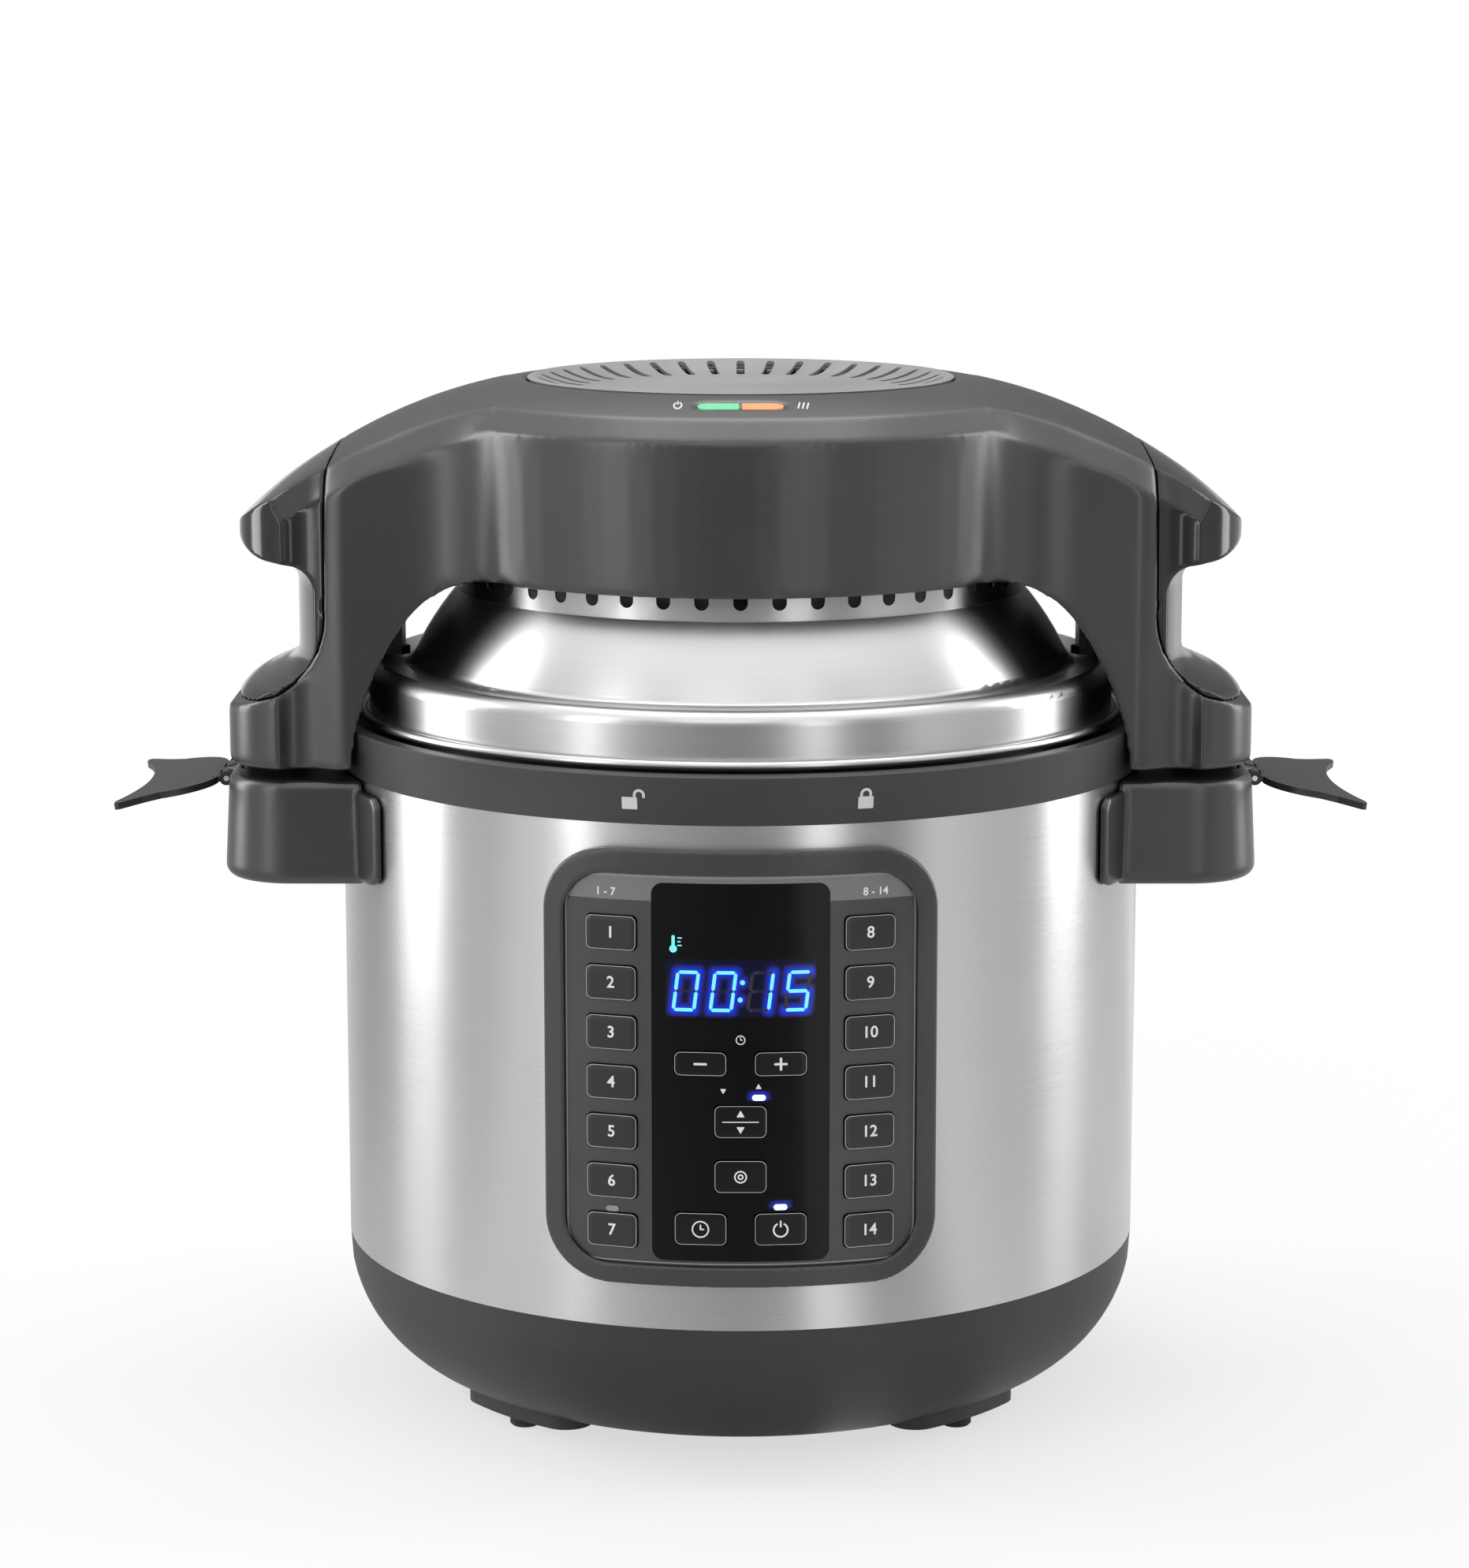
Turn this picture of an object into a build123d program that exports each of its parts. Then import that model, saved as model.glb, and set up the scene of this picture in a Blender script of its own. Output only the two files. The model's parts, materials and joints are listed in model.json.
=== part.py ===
from build123d import *
import math
import os

# Electric multi-cooker with an air-frying lid seated on its base.
# Millimetres, +Z up, control panel towards -Y, origin on the table under the vessel axis.

os.makedirs("parts", exist_ok=True)

# ---- driving sizes: base -------------------------------------------------------------
shell_radius = 146.0
shell_wall = 0.8
shell_height = 176.0
bowl_height = 56.0
bowl_wall = 3.0
bowl_floor = 4.0
bowl_floor_radius = shell_radius - 48.0
foot_lift = 4.5
foot_pad_inner = bowl_floor_radius + 1.0
foot_pad_outer = bowl_floor_radius + 20.0
foot_pad_angle = 20.0
foot_radius = 5.5
foot_recess = 4.5
foot_place = bowl_floor_radius + 11.7
vent_slot_length = 36.0
inlet_width = 50.0
inlet_height = 31.0
inlet_depth = 34.0
collar_height = 17.0
collar_flare = 1.9
collar_land = 5.7
pot_radius = shell_radius - 26.0
pot_wall = 1.0
pot_depth = shell_height + 5.0
pot_base = 3.0
pot_rim_width = 6.5
well_wall = 0.8
plate_thickness = 5.2
plate_margin = 18.0
sensor_radius = 13.0
sensor_stem = 7.0
sensor_travel = 2.0

# ---- driving sizes: base handles and their covers -------------------------------------
handle_reach = 40.4
handle_half_width = 60.0
handle_height = 37.5
handle_draft = 3.0
handle_corner = 26.0
handle_edge = 4.0
handle_flange = 2.8
handle_flange_angle = 30.0
flange_corner = 6.0
socket_width = 20.0
socket_half_length = 30.5
socket_depth = 17.5
socket_block = 4.0
socket_wall = 3.6
blade_pitch = 16.0
pin_radius = 1.0
knuckle_radius = 2.6
knuckle_width = 6.6
knuckle_gap = 0.4
flap_thickness = 2.4
flap_length = 34.0
flap_half_width = 47.0
flap_neck_width = 35.5
flap_droop = 8.0
flap_bay = 7.5

# ---- driving sizes: control panel ------------------------------------------------------
bezel_width = 134.0
bezel_height = shell_height - 23.0
bezel_corner = 22.0
bezel_border = 7.0
bezel_depth = 4.2
bezel_trim = 1.6
face_depth = 2.3
panel_centre = bowl_height + shell_height / 2 + 5.0
glass_width = 60.0
glass_height = bezel_height - 22.0
glass_corner = 4.0
key_width = 17.7
key_corner = 2.0
key_proud = 0.9
key_lip = 0.8
key_lip_depth = 1.5
key_rows = 7
key_pitch = (bezel_height - 49.2) / (key_rows - 1)
key_height = 0.68 * key_pitch
key_column = 44.6
timer_key_height = 0.7 * key_height
centre_key_height = 0.95 * key_height
light_length = 4.6
light_height = 2.0
post_radius = 2.2
digit_depth = 9.0

# ---- driving sizes: lid ----------------------------------------------------------------
lid_seat = 0.4
bead_radius = 1.6
skirt_radius = shell_radius - 10.0
skirt_height = 18.0
lid_sheet = 0.9
ledge_width = 13.0
dome_height = 26.0
gasket_height = 2.8
vent_radius = skirt_radius - 33.3
vent_height = 15.5
vent_slots = 48
vent_slot_width = 5.0
drum_radius = skirt_radius - 22.0
drum_bottom = 55.0
drum_crease = 108.2
drum_edge = 116.0
drum_edge_inset = 7.5
drum_top = 126.3
housing_wall = 3.5
disc_radius = drum_radius - 36.5
disc_drop = 4.4
disc_thickness = 3.0
disc_wall = 1.6
disc_slots = 38
disc_slot_width = 2.6
disc_slot_span = 250.0
lens_length = 14.0
lens_height = 7.0
lens_recess = 2.2
arm_half_width = 60.0
arm_root_fillet = 40.0
arm_edge_drop = 10.3
arm_fall = 16.0
arm_bend = 30.1
arm_crown = 5.0
wing_reach = shell_radius + 33.4
wing_corner = 30.0
leg_reach = shell_radius + 38.0
leg_corner = 26.0
leg_edge = 2.5
leg_gap = 3.8
grip_radius = shell_radius + 15.0
grip_lining = 13.5
post_width = 18.0
plug_half_length = 29.0
plug_depth = 12.5
fan_radius = pot_radius - 58.0
fan_blades = 10
shaft_radius = 3.9
motor_radius = 32.0
motor_height = 34.0
cooling_radius = drum_radius - 66.0
cooling_hub = 11.0
coil_radius = pot_radius - 28.0
coil_tube = 3.3
coil_spacing = 20.0
guard_rings = 7

# ---- clearances ------------------------------------------------------------------------
body_gap = 0.3
seat_gap = 0.2
shaft_gap = 0.07
panel_gap = 0.15
key_gap = 0.3

# ---- places worked out from the sizes above ---------------------------------------------
inlet_z = bowl_height - 22
shell_top = bowl_height + shell_height
collar_top = shell_top + collar_height
pot_rim = collar_top - 1.8
pot_floor = pot_rim - pot_depth
plate_top = pot_floor - body_gap
plate_radius = pot_radius - plate_margin
well_radius = pot_radius + 2.5
well_floor = plate_top - plate_thickness
handle_top = shell_top - 0.5
handle_bottom = handle_top - handle_height
handle_face = shell_radius + handle_reach
handle_top_face = handle_face - handle_height * math.tan(math.radians(handle_draft))
hinge_x = handle_top_face + knuckle_radius + 0.8
hinge_z = handle_top - 6.0
knuckle_step = knuckle_width + knuckle_gap
socket_outer = handle_top_face - socket_wall
socket_middle = socket_outer - socket_width / 2
pocket_floor = handle_top - socket_depth
panel_radius = shell_radius + 0.2
bezel_radius = panel_radius + bezel_depth
face_radius = panel_radius + face_depth
key_face = face_radius + key_proud
key_column_angle = math.degrees(key_column / key_face)
key_back = math.sqrt(panel_radius**2 - (key_width / 2 + key_lip) ** 2) - key_gap
board_plane = shell_radius - 12.0
face_width = bezel_width - 2 * bezel_border
face_height = bezel_height - 2 * bezel_border - 3
face_corner = bezel_corner - bezel_border
face_z = panel_centre - 1.5
post_x = glass_width / 2 + 3.2
post_high = face_z + face_height / 2 - 7
post_low = face_z - face_height / 2 + post_radius + 0.2
bead_z = collar_top + lid_seat + bead_radius
bead_place = skirt_radius + bead_radius + 1.0
shoulder_z = bead_z + skirt_height
ledge_radius = skirt_radius - ledge_width
dome_top = shoulder_z + dome_height
rim_top = pot_rim + pot_wall
shield_seat = rim_top + body_gap + gasket_height
shield_throat = pot_radius - 7
shield_top = dome_top - 5.7
leg_bottom = handle_top + leg_gap
drum_bottom_z = collar_top + drum_bottom
crease_z = collar_top + drum_crease
edge_z = collar_top + drum_edge
edge_radius = drum_radius - drum_edge_inset
top_z = collar_top + drum_top
disc_edge_z = top_z - disc_drop
cage_top = dome_top + vent_height
motor_top = cage_top + 1 + motor_height
coil_z = shield_seat + 6
lens_place = (disc_radius + edge_radius) / 2
lens_slope = math.atan2(disc_edge_z - edge_z, edge_radius - disc_radius)
lens_plane = Plane(
    origin=(0, -lens_place, (disc_edge_z + edge_z) / 2 + 0.9),
    x_dir=(1, 0, 0),
    z_dir=(0, -math.sin(lens_slope), math.cos(lens_slope)),
)


def radial_plane(azimuth):
    """Upright plane through the axis: x runs outwards at the azimuth, y is up."""
    turn = math.radians(azimuth)
    return Plane(
        origin=(0, 0, 0),
        x_dir=(math.cos(turn), math.sin(turn), 0),
        z_dir=(math.sin(turn), -math.cos(turn), 0),
    )


def facing_plane(angle, radius):
    """Plane tangent to the front of a cylinder, turned by the angle about the axis."""
    turn = math.radians(angle)
    return Plane(
        origin=(radius * math.sin(turn), -radius * math.cos(turn), 0),
        x_dir=(math.cos(turn), math.sin(turn), 0),
        z_dir=(math.sin(turn), -math.cos(turn), 0),
    )


# ---- base bowl: dished floor, ventilation slots, four foot pads --------------------------
curve_low = (shell_radius - 17.6, bowl_height * 2 / 7)
curve_end = (shell_radius - 0.8, bowl_height - 11)
lip_radius = shell_radius - shell_wall - panel_gap
with BuildPart() as base_bowl:
    with BuildSketch(Plane.XZ):
        with BuildLine():
            floor = Line((0, bowl_floor), (bowl_floor_radius, bowl_floor))
            side = ThreePointArc(floor @ 1, curve_low, curve_end)
            rim = Polyline(
                side @ 1,
                (shell_radius, bowl_height),
                (lip_radius, bowl_height),
                (lip_radius, bowl_height + 8),
                (shell_radius - bowl_wall, bowl_height + 8),
                (curve_end[0] - bowl_wall, curve_end[1]),
            )
            inside = ThreePointArc(
                rim @ 1,
                (curve_low[0] - 0.7 * bowl_wall, curve_low[1] + 0.7 * bowl_wall),
                (bowl_floor_radius, bowl_floor + bowl_wall),
            )
            Polyline(inside @ 1, (0, bowl_floor + bowl_wall), (0, bowl_floor))
        make_face()
    revolve(axis=Axis.Z)
    with BuildSketch(Plane.XY.offset(foot_lift)):
        for quarter in range(4):
            start = 45 + 90 * quarter - foot_pad_angle / 2
            SlotArc(
                CenterArc((0, 0), (foot_pad_inner + foot_pad_outer) / 2, start, foot_pad_angle),
                foot_pad_outer - foot_pad_inner,
            )
    extrude(amount=bowl_floor + bowl_wall)
    with BuildSketch(Plane.XY.offset(foot_lift)):
        with PolarLocations(foot_place, 4, start_angle=45):
            Circle(foot_radius + panel_gap)
    extrude(amount=foot_recess, mode=Mode.SUBTRACT)
    with BuildSketch(Plane.XY):
        with PolarLocations(bowl_floor_radius * 0.66, 16):
            SlotOverall(vent_slot_length, 4)
    extrude(amount=bowl_floor + bowl_wall + 1, mode=Mode.SUBTRACT)
    with BuildSketch(Plane.XZ.offset(-shell_radius * 0.7)):
        with Locations((0, inlet_z)):
            RectangleRounded(inlet_width + 2 * panel_gap, inlet_height + 2 * panel_gap, 4)
    extrude(amount=-shell_radius, mode=Mode.SUBTRACT)
base_bowl.part.label = "base_bowl"
export_step(base_bowl.part, "parts/base_bowl.step")

with BuildPart() as rubber_feet:
    with BuildSketch(Plane.XY):
        with PolarLocations(foot_place, 4, start_angle=45):
            Circle(foot_radius)
    extrude(amount=foot_lift + foot_recess - panel_gap)
    chamfer(rubber_feet.edges().group_by(Axis.Z)[0], 0.8)
rubber_feet.part.label = "rubber_feet"
export_step(rubber_feet.part, "parts/rubber_feet.step")

# ---- power inlet: three-blade appliance socket set in the back of the bowl ----------------
with BuildPart() as power_inlet:
    with BuildSketch(Plane.XZ.offset(-shell_radius)):
        with Locations((0, inlet_z)):
            RectangleRounded(inlet_width, inlet_height, 4)
    extrude(amount=inlet_depth)
    with BuildSketch(Plane.XZ.offset(-shell_radius)):
        with Locations((0, inlet_z)):
            RectangleRounded(24.6, 17.0, 2.5)
    extrude(amount=15, mode=Mode.SUBTRACT)
    with BuildSketch(Plane.XZ.offset(16 - shell_radius)):
        with Locations((-7, inlet_z + 1.5), (0, inlet_z + 4.5), (7, inlet_z + 1.5)):
            Rectangle(2, 4)
    extrude(amount=-13)
power_inlet.part.label = "power_inlet"
export_step(power_inlet.part, "parts/power_inlet.step")

# ---- steel shell and the collar that closes it --------------------------------------------
with BuildPart() as outer_shell:
    with BuildSketch(Plane.XY.offset(bowl_height)):
        Circle(shell_radius)
        Circle(shell_radius - shell_wall, mode=Mode.SUBTRACT)
    extrude(amount=shell_height)
    with BuildSketch(Plane.XZ):
        with Locations((0, panel_centre)):
            RectangleRounded(bezel_width - 16, bezel_height - 12, bezel_corner - 8)
    extrude(amount=shell_radius + 5, mode=Mode.SUBTRACT)
outer_shell.part.label = "outer_shell"
export_step(outer_shell.part, "parts/outer_shell.step")

collar_radius = shell_radius + 0.3 + collar_flare
land_radius = collar_radius - collar_land
rim_seat = pot_rim - seat_gap
with BuildPart() as collar_ring:
    with BuildSketch(Plane.XZ):
        with BuildLine():
            Polyline(
                (shell_radius + 0.3, shell_top),
                (collar_radius, collar_top - 0.5),
                (collar_radius - 0.5, collar_top),
                (land_radius, collar_top),
                (land_radius - 0.5, collar_top - 6),
                (pot_radius + pot_rim_width + 2.5, collar_top - 6),
                (pot_radius + pot_rim_width + 1.0, rim_seat),
                (well_radius - well_wall, rim_seat),
                (well_radius - well_wall, collar_top - 11),
                (lip_radius - 2.5, collar_top - 11),
                (lip_radius - 2.5, shell_top - 6),
                (lip_radius, shell_top - 6),
                (lip_radius, shell_top),
                close=True,
            )
        make_face()
    revolve(axis=Axis.Z)
collar_ring.part.label = "collar_ring"
export_step(collar_ring.part, "parts/collar_ring.step")

# ---- inside of the base: well, heating plate, sensor, removable pot ------------------------
with BuildPart() as pot_well:
    with BuildSketch(Plane.XZ):
        with BuildLine():
            Polyline(
                (well_radius + 8, collar_top - 11),
                (well_radius, collar_top - 11),
                (well_radius, well_floor),
                (well_radius - 28, well_floor),
            )
            offset(amount=well_wall, side=Side.LEFT)
        make_face()
    revolve(axis=Axis.Z)
pot_well.part.label = "pot_well"
export_step(pot_well.part, "parts/pot_well.step")

with BuildPart() as heating_plate:
    with BuildSketch(Plane.XY.offset(well_floor)):
        Circle(plate_radius)
    extrude(amount=plate_thickness)
    with BuildSketch(Plane.XY.offset(well_floor)):
        Circle(plate_radius - 18)
        Circle(plate_radius - 34, mode=Mode.SUBTRACT)
    extrude(amount=-7)
    with BuildSketch(Plane.XY.offset(plate_top)):
        Circle(sensor_radius + 2)
    extrude(amount=-plate_thickness, mode=Mode.SUBTRACT)
heating_plate.part.label = "heating_plate"
export_step(heating_plate.part, "parts/heating_plate.step")

guide_top = plate_top - 10 - sensor_travel - 2
with BuildPart() as sensor_guide:
    with BuildSketch(Plane.XY.offset(bowl_floor + bowl_wall)):
        Circle(sensor_radius + 4)
    extrude(amount=4)
    with BuildSketch(Plane.XY.offset(bowl_floor + bowl_wall)):
        Circle(sensor_stem + 3)
    extrude(amount=guide_top - bowl_floor - bowl_wall)
    with BuildSketch(Plane.XY.offset(guide_top)):
        Circle(sensor_stem + shaft_gap)
    extrude(amount=-30, mode=Mode.SUBTRACT)
sensor_guide.part.label = "sensor_guide"
export_step(sensor_guide.part, "parts/sensor_guide.step")

with BuildPart() as thermal_sensor:
    with BuildSketch(Plane.XY.offset(plate_top)):
        Circle(sensor_radius)
    extrude(amount=-10)
    chamfer(thermal_sensor.edges().group_by(Axis.Z)[-1], 1.2)
    with BuildSketch(Plane.XY.offset(plate_top - 10)):
        Circle(sensor_stem)
    extrude(amount=-22)
thermal_sensor.part.label = "thermal_sensor"
export_step(thermal_sensor.part, "parts/thermal_sensor.step")

with BuildPart() as inner_pot:
    with BuildSketch(Plane.XZ):
        with BuildLine():
            under = Line((0, pot_floor), (pot_radius - 12, pot_floor))
            heel = TangentArc(under @ 1, (pot_radius, pot_floor + 12), tangent=under % 1)
            outline = Polyline(
                heel @ 1,
                (pot_radius, pot_rim),
                (pot_radius + pot_rim_width, pot_rim),
                (pot_radius + pot_rim_width, rim_top),
                (pot_radius - pot_wall, rim_top),
                (pot_radius - pot_wall, pot_floor + pot_base + 11),
            )
            toe = TangentArc(
                outline @ 1,
                (pot_radius - pot_wall - 11, pot_floor + pot_base),
                tangent=(0, -1),
            )
            Polyline(toe @ 1, (0, pot_floor + pot_base), (0, pot_floor))
        make_face()
    revolve(axis=Axis.Z)
inner_pot.part.label = "inner_pot"
export_step(inner_pot.part, "parts/inner_pot.step")

# ---- base handles: pocketed blocks with hinge knuckles on the outer face --------------------
flange_middle = handle_bottom + handle_height / 2 - 0.5
flange_width = 2 * (shell_radius + handle_flange) * math.sin(math.radians(handle_flange_angle))
with BuildPart() as flange_form:
    with BuildSketch(radial_plane(-handle_flange_angle)):
        with Locations((shell_radius + handle_flange / 2, flange_middle)):
            Rectangle(handle_flange, handle_height - 5)
    revolve(axis=Axis.Z, revolution_arc=2 * handle_flange_angle)
    with BuildSketch(Plane.YZ):
        with Locations((0, flange_middle)):
            RectangleRounded(flange_width, handle_height - 5, flange_corner)
    extrude(amount=handle_face, mode=Mode.INTERSECT)

with BuildPart() as handle_right:
    with BuildSketch(Plane.XY.offset(handle_bottom)) as handle_plan:
        with Locations((handle_face * 0.75, 0)):
            Rectangle(handle_face / 2, 2 * handle_half_width)
        fillet(handle_plan.vertices().group_by(Axis.X)[-1], handle_corner)
    extrude(amount=handle_height, taper=handle_draft)
    fillet(handle_right.edges().group_by(Axis.Z)[-1].sort_by(Axis.X)[1:], 3)
    fillet(handle_right.edges().group_by(Axis.Z)[0].sort_by(Axis.X)[1:], handle_edge)
    add(flange_form.part)
    for place in (-1, 1):
        with BuildSketch(Plane.XZ.offset(place * knuckle_step)):
            with Locations((hinge_x, hinge_z)):
                Circle(knuckle_radius)
            with Locations((hinge_x - knuckle_radius, hinge_z)):
                Rectangle(2 * knuckle_radius, 2 * knuckle_radius)
        extrude(amount=knuckle_width / 2, both=True)
    with BuildSketch(Plane.XY.offset(handle_top)):
        with Locations((socket_middle, 0)):
            RectangleRounded(socket_width, 2 * socket_half_length, 4)
    extrude(amount=-socket_depth, mode=Mode.SUBTRACT)
    with BuildSketch(Plane.XZ):
        with Locations((hinge_x, hinge_z)):
            Circle(pin_radius + 0.03)
    extrude(amount=2 * knuckle_step, both=True, mode=Mode.SUBTRACT)
    Cylinder(shell_radius + body_gap, 4 * shell_height, mode=Mode.SUBTRACT)
handle_right.part.label = "handle_right"
export_step(handle_right.part, "parts/handle_right.step")

with BuildPart() as handle_left:
    mirror(handle_right.part, about=Plane.YZ)
handle_left.part.label = "handle_left"
export_step(handle_left.part, "parts/handle_left.step")

with BuildPart() as lid_sockets:
    with BuildSketch(Plane.XY.offset(pocket_floor)):
        with Locations((socket_middle, 0), (-socket_middle, 0)):
            RectangleRounded(socket_width - 0.6, 2 * socket_half_length - 0.6, 3.7)
    extrude(amount=socket_block)
    with BuildSketch(Plane.XY.offset(pocket_floor + socket_block)):
        with Locations((socket_middle, 0), (-socket_middle, 0)):
            with GridLocations(0, blade_pitch, 1, 3):
                Rectangle(8.5, 3.5)
    extrude(amount=1 - socket_block, mode=Mode.SUBTRACT)
lid_sockets.part.label = "lid_sockets"
export_step(lid_sockets.part, "parts/lid_sockets.step")

with BuildPart() as hinge_pins:
    with BuildSketch(Plane.XZ):
        with Locations((hinge_x, hinge_z), (-hinge_x, hinge_z)):
            Circle(pin_radius)
    extrude(amount=2.5 * knuckle_step, both=True)
hinge_pins.part.label = "hinge_pins"
export_step(hinge_pins.part, "parts/hinge_pins.step")

# ---- hinged socket covers, lying open: three knuckles and a whale-tail plate ----------------
droop = math.radians(flap_droop)
flap_plane = Plane(
    origin=(hinge_x, 0, hinge_z),
    x_dir=(math.cos(droop), 0, -math.sin(droop)),
    z_dir=(math.sin(droop), 0, math.cos(droop)),
)
flap_root = knuckle_radius + 0.6
flap_end = flap_root + flap_length
flap_shoulder = 2.5 * knuckle_step
with BuildPart() as flap_right:
    with BuildSketch(flap_plane.offset(-flap_thickness / 2)):
        with BuildLine():
            ThreePointArc(
                (flap_root, flap_shoulder),
                (flap_root + 6, flap_neck_width - 6),
                (flap_root + flap_length * 0.55, flap_neck_width),
            )
            Polyline(
                (flap_root + flap_length * 0.55, flap_neck_width),
                (flap_root + flap_length * 0.72, flap_neck_width + 4),
                (flap_end - 1.5, flap_half_width),
                (flap_end, flap_half_width - 1),
                (flap_end, flap_half_width - 5),
            )
            ThreePointArc(
                (flap_end, flap_half_width - 5),
                (flap_end - flap_bay, 0),
                (flap_end, 5 - flap_half_width),
            )
            Polyline(
                (flap_end, 5 - flap_half_width),
                (flap_end, 1 - flap_half_width),
                (flap_end - 1.5, -flap_half_width),
                (flap_root + flap_length * 0.72, -flap_neck_width - 4),
                (flap_root + flap_length * 0.55, -flap_neck_width),
            )
            ThreePointArc(
                (flap_root + flap_length * 0.55, -flap_neck_width),
                (flap_root + 6, 6 - flap_neck_width),
                (flap_root, -flap_shoulder),
            )
            Line((flap_root, -flap_shoulder), (flap_root, flap_shoulder))
        make_face()
    extrude(amount=flap_thickness)
    for place in (-2, 0, 2):
        with BuildSketch(Plane.XZ.offset(place * knuckle_step)):
            with Locations((hinge_x, hinge_z)):
                Circle(knuckle_radius)
            with Locations((hinge_x + knuckle_radius, hinge_z - 0.3)):
                Rectangle(2 * knuckle_radius, flap_thickness * 0.8)
        extrude(amount=knuckle_width / 2, both=True)
    with BuildSketch(Plane.XZ):
        with Locations((hinge_x, hinge_z)):
            Circle(pin_radius + shaft_gap)
    extrude(amount=3 * knuckle_step, both=True, mode=Mode.SUBTRACT)
flap_right.part.label = "flap_right"
export_step(flap_right.part, "parts/flap_right.step")

with BuildPart() as flap_left:
    mirror(flap_right.part, about=Plane.YZ)
flap_left.part.label = "flap_left"
export_step(flap_left.part, "parts/flap_left.step")

# ---- control panel: curved bezel, face with key openings, dark glass -------------------------
glass_z = panel_centre - 2
key_top_z = panel_centre - 6 + key_pitch * (key_rows - 1) / 2
outer_keys = [
    (f"key_{column}_{row + 1}", side * key_column_angle, key_top_z - row * key_pitch, key_height)
    for column, side in (("left", -1), ("right", 1))
    for row in range(key_rows)
]
pair_angle = math.degrees((key_width / 2 + 4.8) / key_face)
centre_keys = [
    ("key_minus", -pair_angle, panel_centre + 0.1 * key_pitch, timer_key_height),
    ("key_plus", pair_angle, panel_centre + 0.1 * key_pitch, timer_key_height),
    ("key_centre_1", 0, panel_centre - 1.06 * key_pitch, centre_key_height),
    ("key_centre_2", 0, panel_centre - 2.17 * key_pitch, centre_key_height),
    ("key_delay", -pair_angle, panel_centre - 3.24 * key_pitch, centre_key_height),
    ("key_start", pair_angle, panel_centre - 3.24 * key_pitch, centre_key_height),
]
glass_lights = [(2.4, panel_centre - 0.58 * key_pitch), (pair_angle, panel_centre - 2.8 * key_pitch)]
lowest_key_z = key_top_z - (key_rows - 1) * key_pitch
face_lights = [(-key_column_angle, lowest_key_z + key_height / 2 + 1.5)]

with BuildPart() as panel_bezel:
    with BuildSketch(Plane.XZ):
        with Locations((0, panel_centre - bezel_trim / 2)):
            RectangleRounded(bezel_width, bezel_height - bezel_trim, bezel_corner)
        with Locations((0, face_z)):
            RectangleRounded(face_width, face_height, face_corner, mode=Mode.SUBTRACT)
    extrude(amount=shell_radius + 20)
    Cylinder(bezel_radius, 4 * shell_height, mode=Mode.INTERSECT)
    Cylinder(panel_radius, 4 * shell_height, mode=Mode.SUBTRACT)
panel_bezel.part.label = "panel_bezel"
export_step(panel_bezel.part, "parts/panel_bezel.step")

with BuildPart() as panel_face:
    with BuildSketch(Plane.XZ):
        with Locations((0, face_z)):
            RectangleRounded(face_width - 0.3, face_height - 0.3, face_corner)
        with Locations((0, glass_z)):
            RectangleRounded(glass_width + 0.3, glass_height + 0.3, glass_corner, mode=Mode.SUBTRACT)
    extrude(amount=shell_radius + 20)
    Cylinder(face_radius, 4 * shell_height, mode=Mode.INTERSECT)
    Cylinder(panel_radius, 4 * shell_height, mode=Mode.SUBTRACT)
    for name, angle, height, tall in outer_keys:
        with BuildSketch(facing_plane(angle, shell_radius - 5)):
            with Locations((0, height)):
                RectangleRounded(key_width + 2 * key_gap, tall + 2 * key_gap, key_corner)
        extrude(amount=12, mode=Mode.SUBTRACT)
    for angle, height in face_lights:
        with BuildSketch(facing_plane(angle, shell_radius - 5)):
            with Locations((0, height)):
                SlotOverall(light_length + 2 * panel_gap, light_height + 2 * panel_gap)
        extrude(amount=12, mode=Mode.SUBTRACT)
    with BuildSketch(Plane.XZ.offset(board_plane)):
        for place in (-1, 1):
            with Locations((place * post_x, post_high), (place * post_x, post_low)):
                Circle(post_radius)
    extrude(amount=math.sqrt(panel_radius**2 - (glass_width / 2) ** 2) - board_plane + 0.8)
panel_face.part.label = "panel_face"
export_step(panel_face.part, "parts/panel_face.step")

with BuildPart() as display_glass:
    with BuildSketch(Plane.XZ):
        with Locations((0, glass_z)):
            RectangleRounded(glass_width, glass_height, glass_corner)
    extrude(amount=shell_radius + 20)
    Cylinder(face_radius + 0.3, 4 * shell_height, mode=Mode.INTERSECT)
    Cylinder(panel_radius, 4 * shell_height, mode=Mode.SUBTRACT)
    for name, angle, height, tall in centre_keys:
        with BuildSketch(facing_plane(angle, shell_radius - 5)):
            with Locations((0, height)):
                RectangleRounded(key_width + 2 * key_gap, tall + 2 * key_gap, key_corner)
        extrude(amount=12, mode=Mode.SUBTRACT)
    for angle, height in glass_lights:
        with BuildSketch(facing_plane(angle, shell_radius - 5)):
            with Locations((0, height)):
                SlotOverall(light_length + 2 * panel_gap, light_height + 2 * panel_gap)
        extrude(amount=12, mode=Mode.SUBTRACT)
display_glass.part.label = "display_glass"
export_step(display_glass.part, "parts/display_glass.step")

with BuildPart() as status_lights:
    for angle, height in glass_lights + face_lights:
        with BuildSketch(facing_plane(angle, key_back + key_gap)):
            with Locations((0, height)):
                SlotOverall(light_length, light_height)
        extrude(amount=face_radius + 0.5 - key_back - key_gap)
status_lights.part.label = "status_lights"
export_step(status_lights.part, "parts/status_lights.step")

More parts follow.
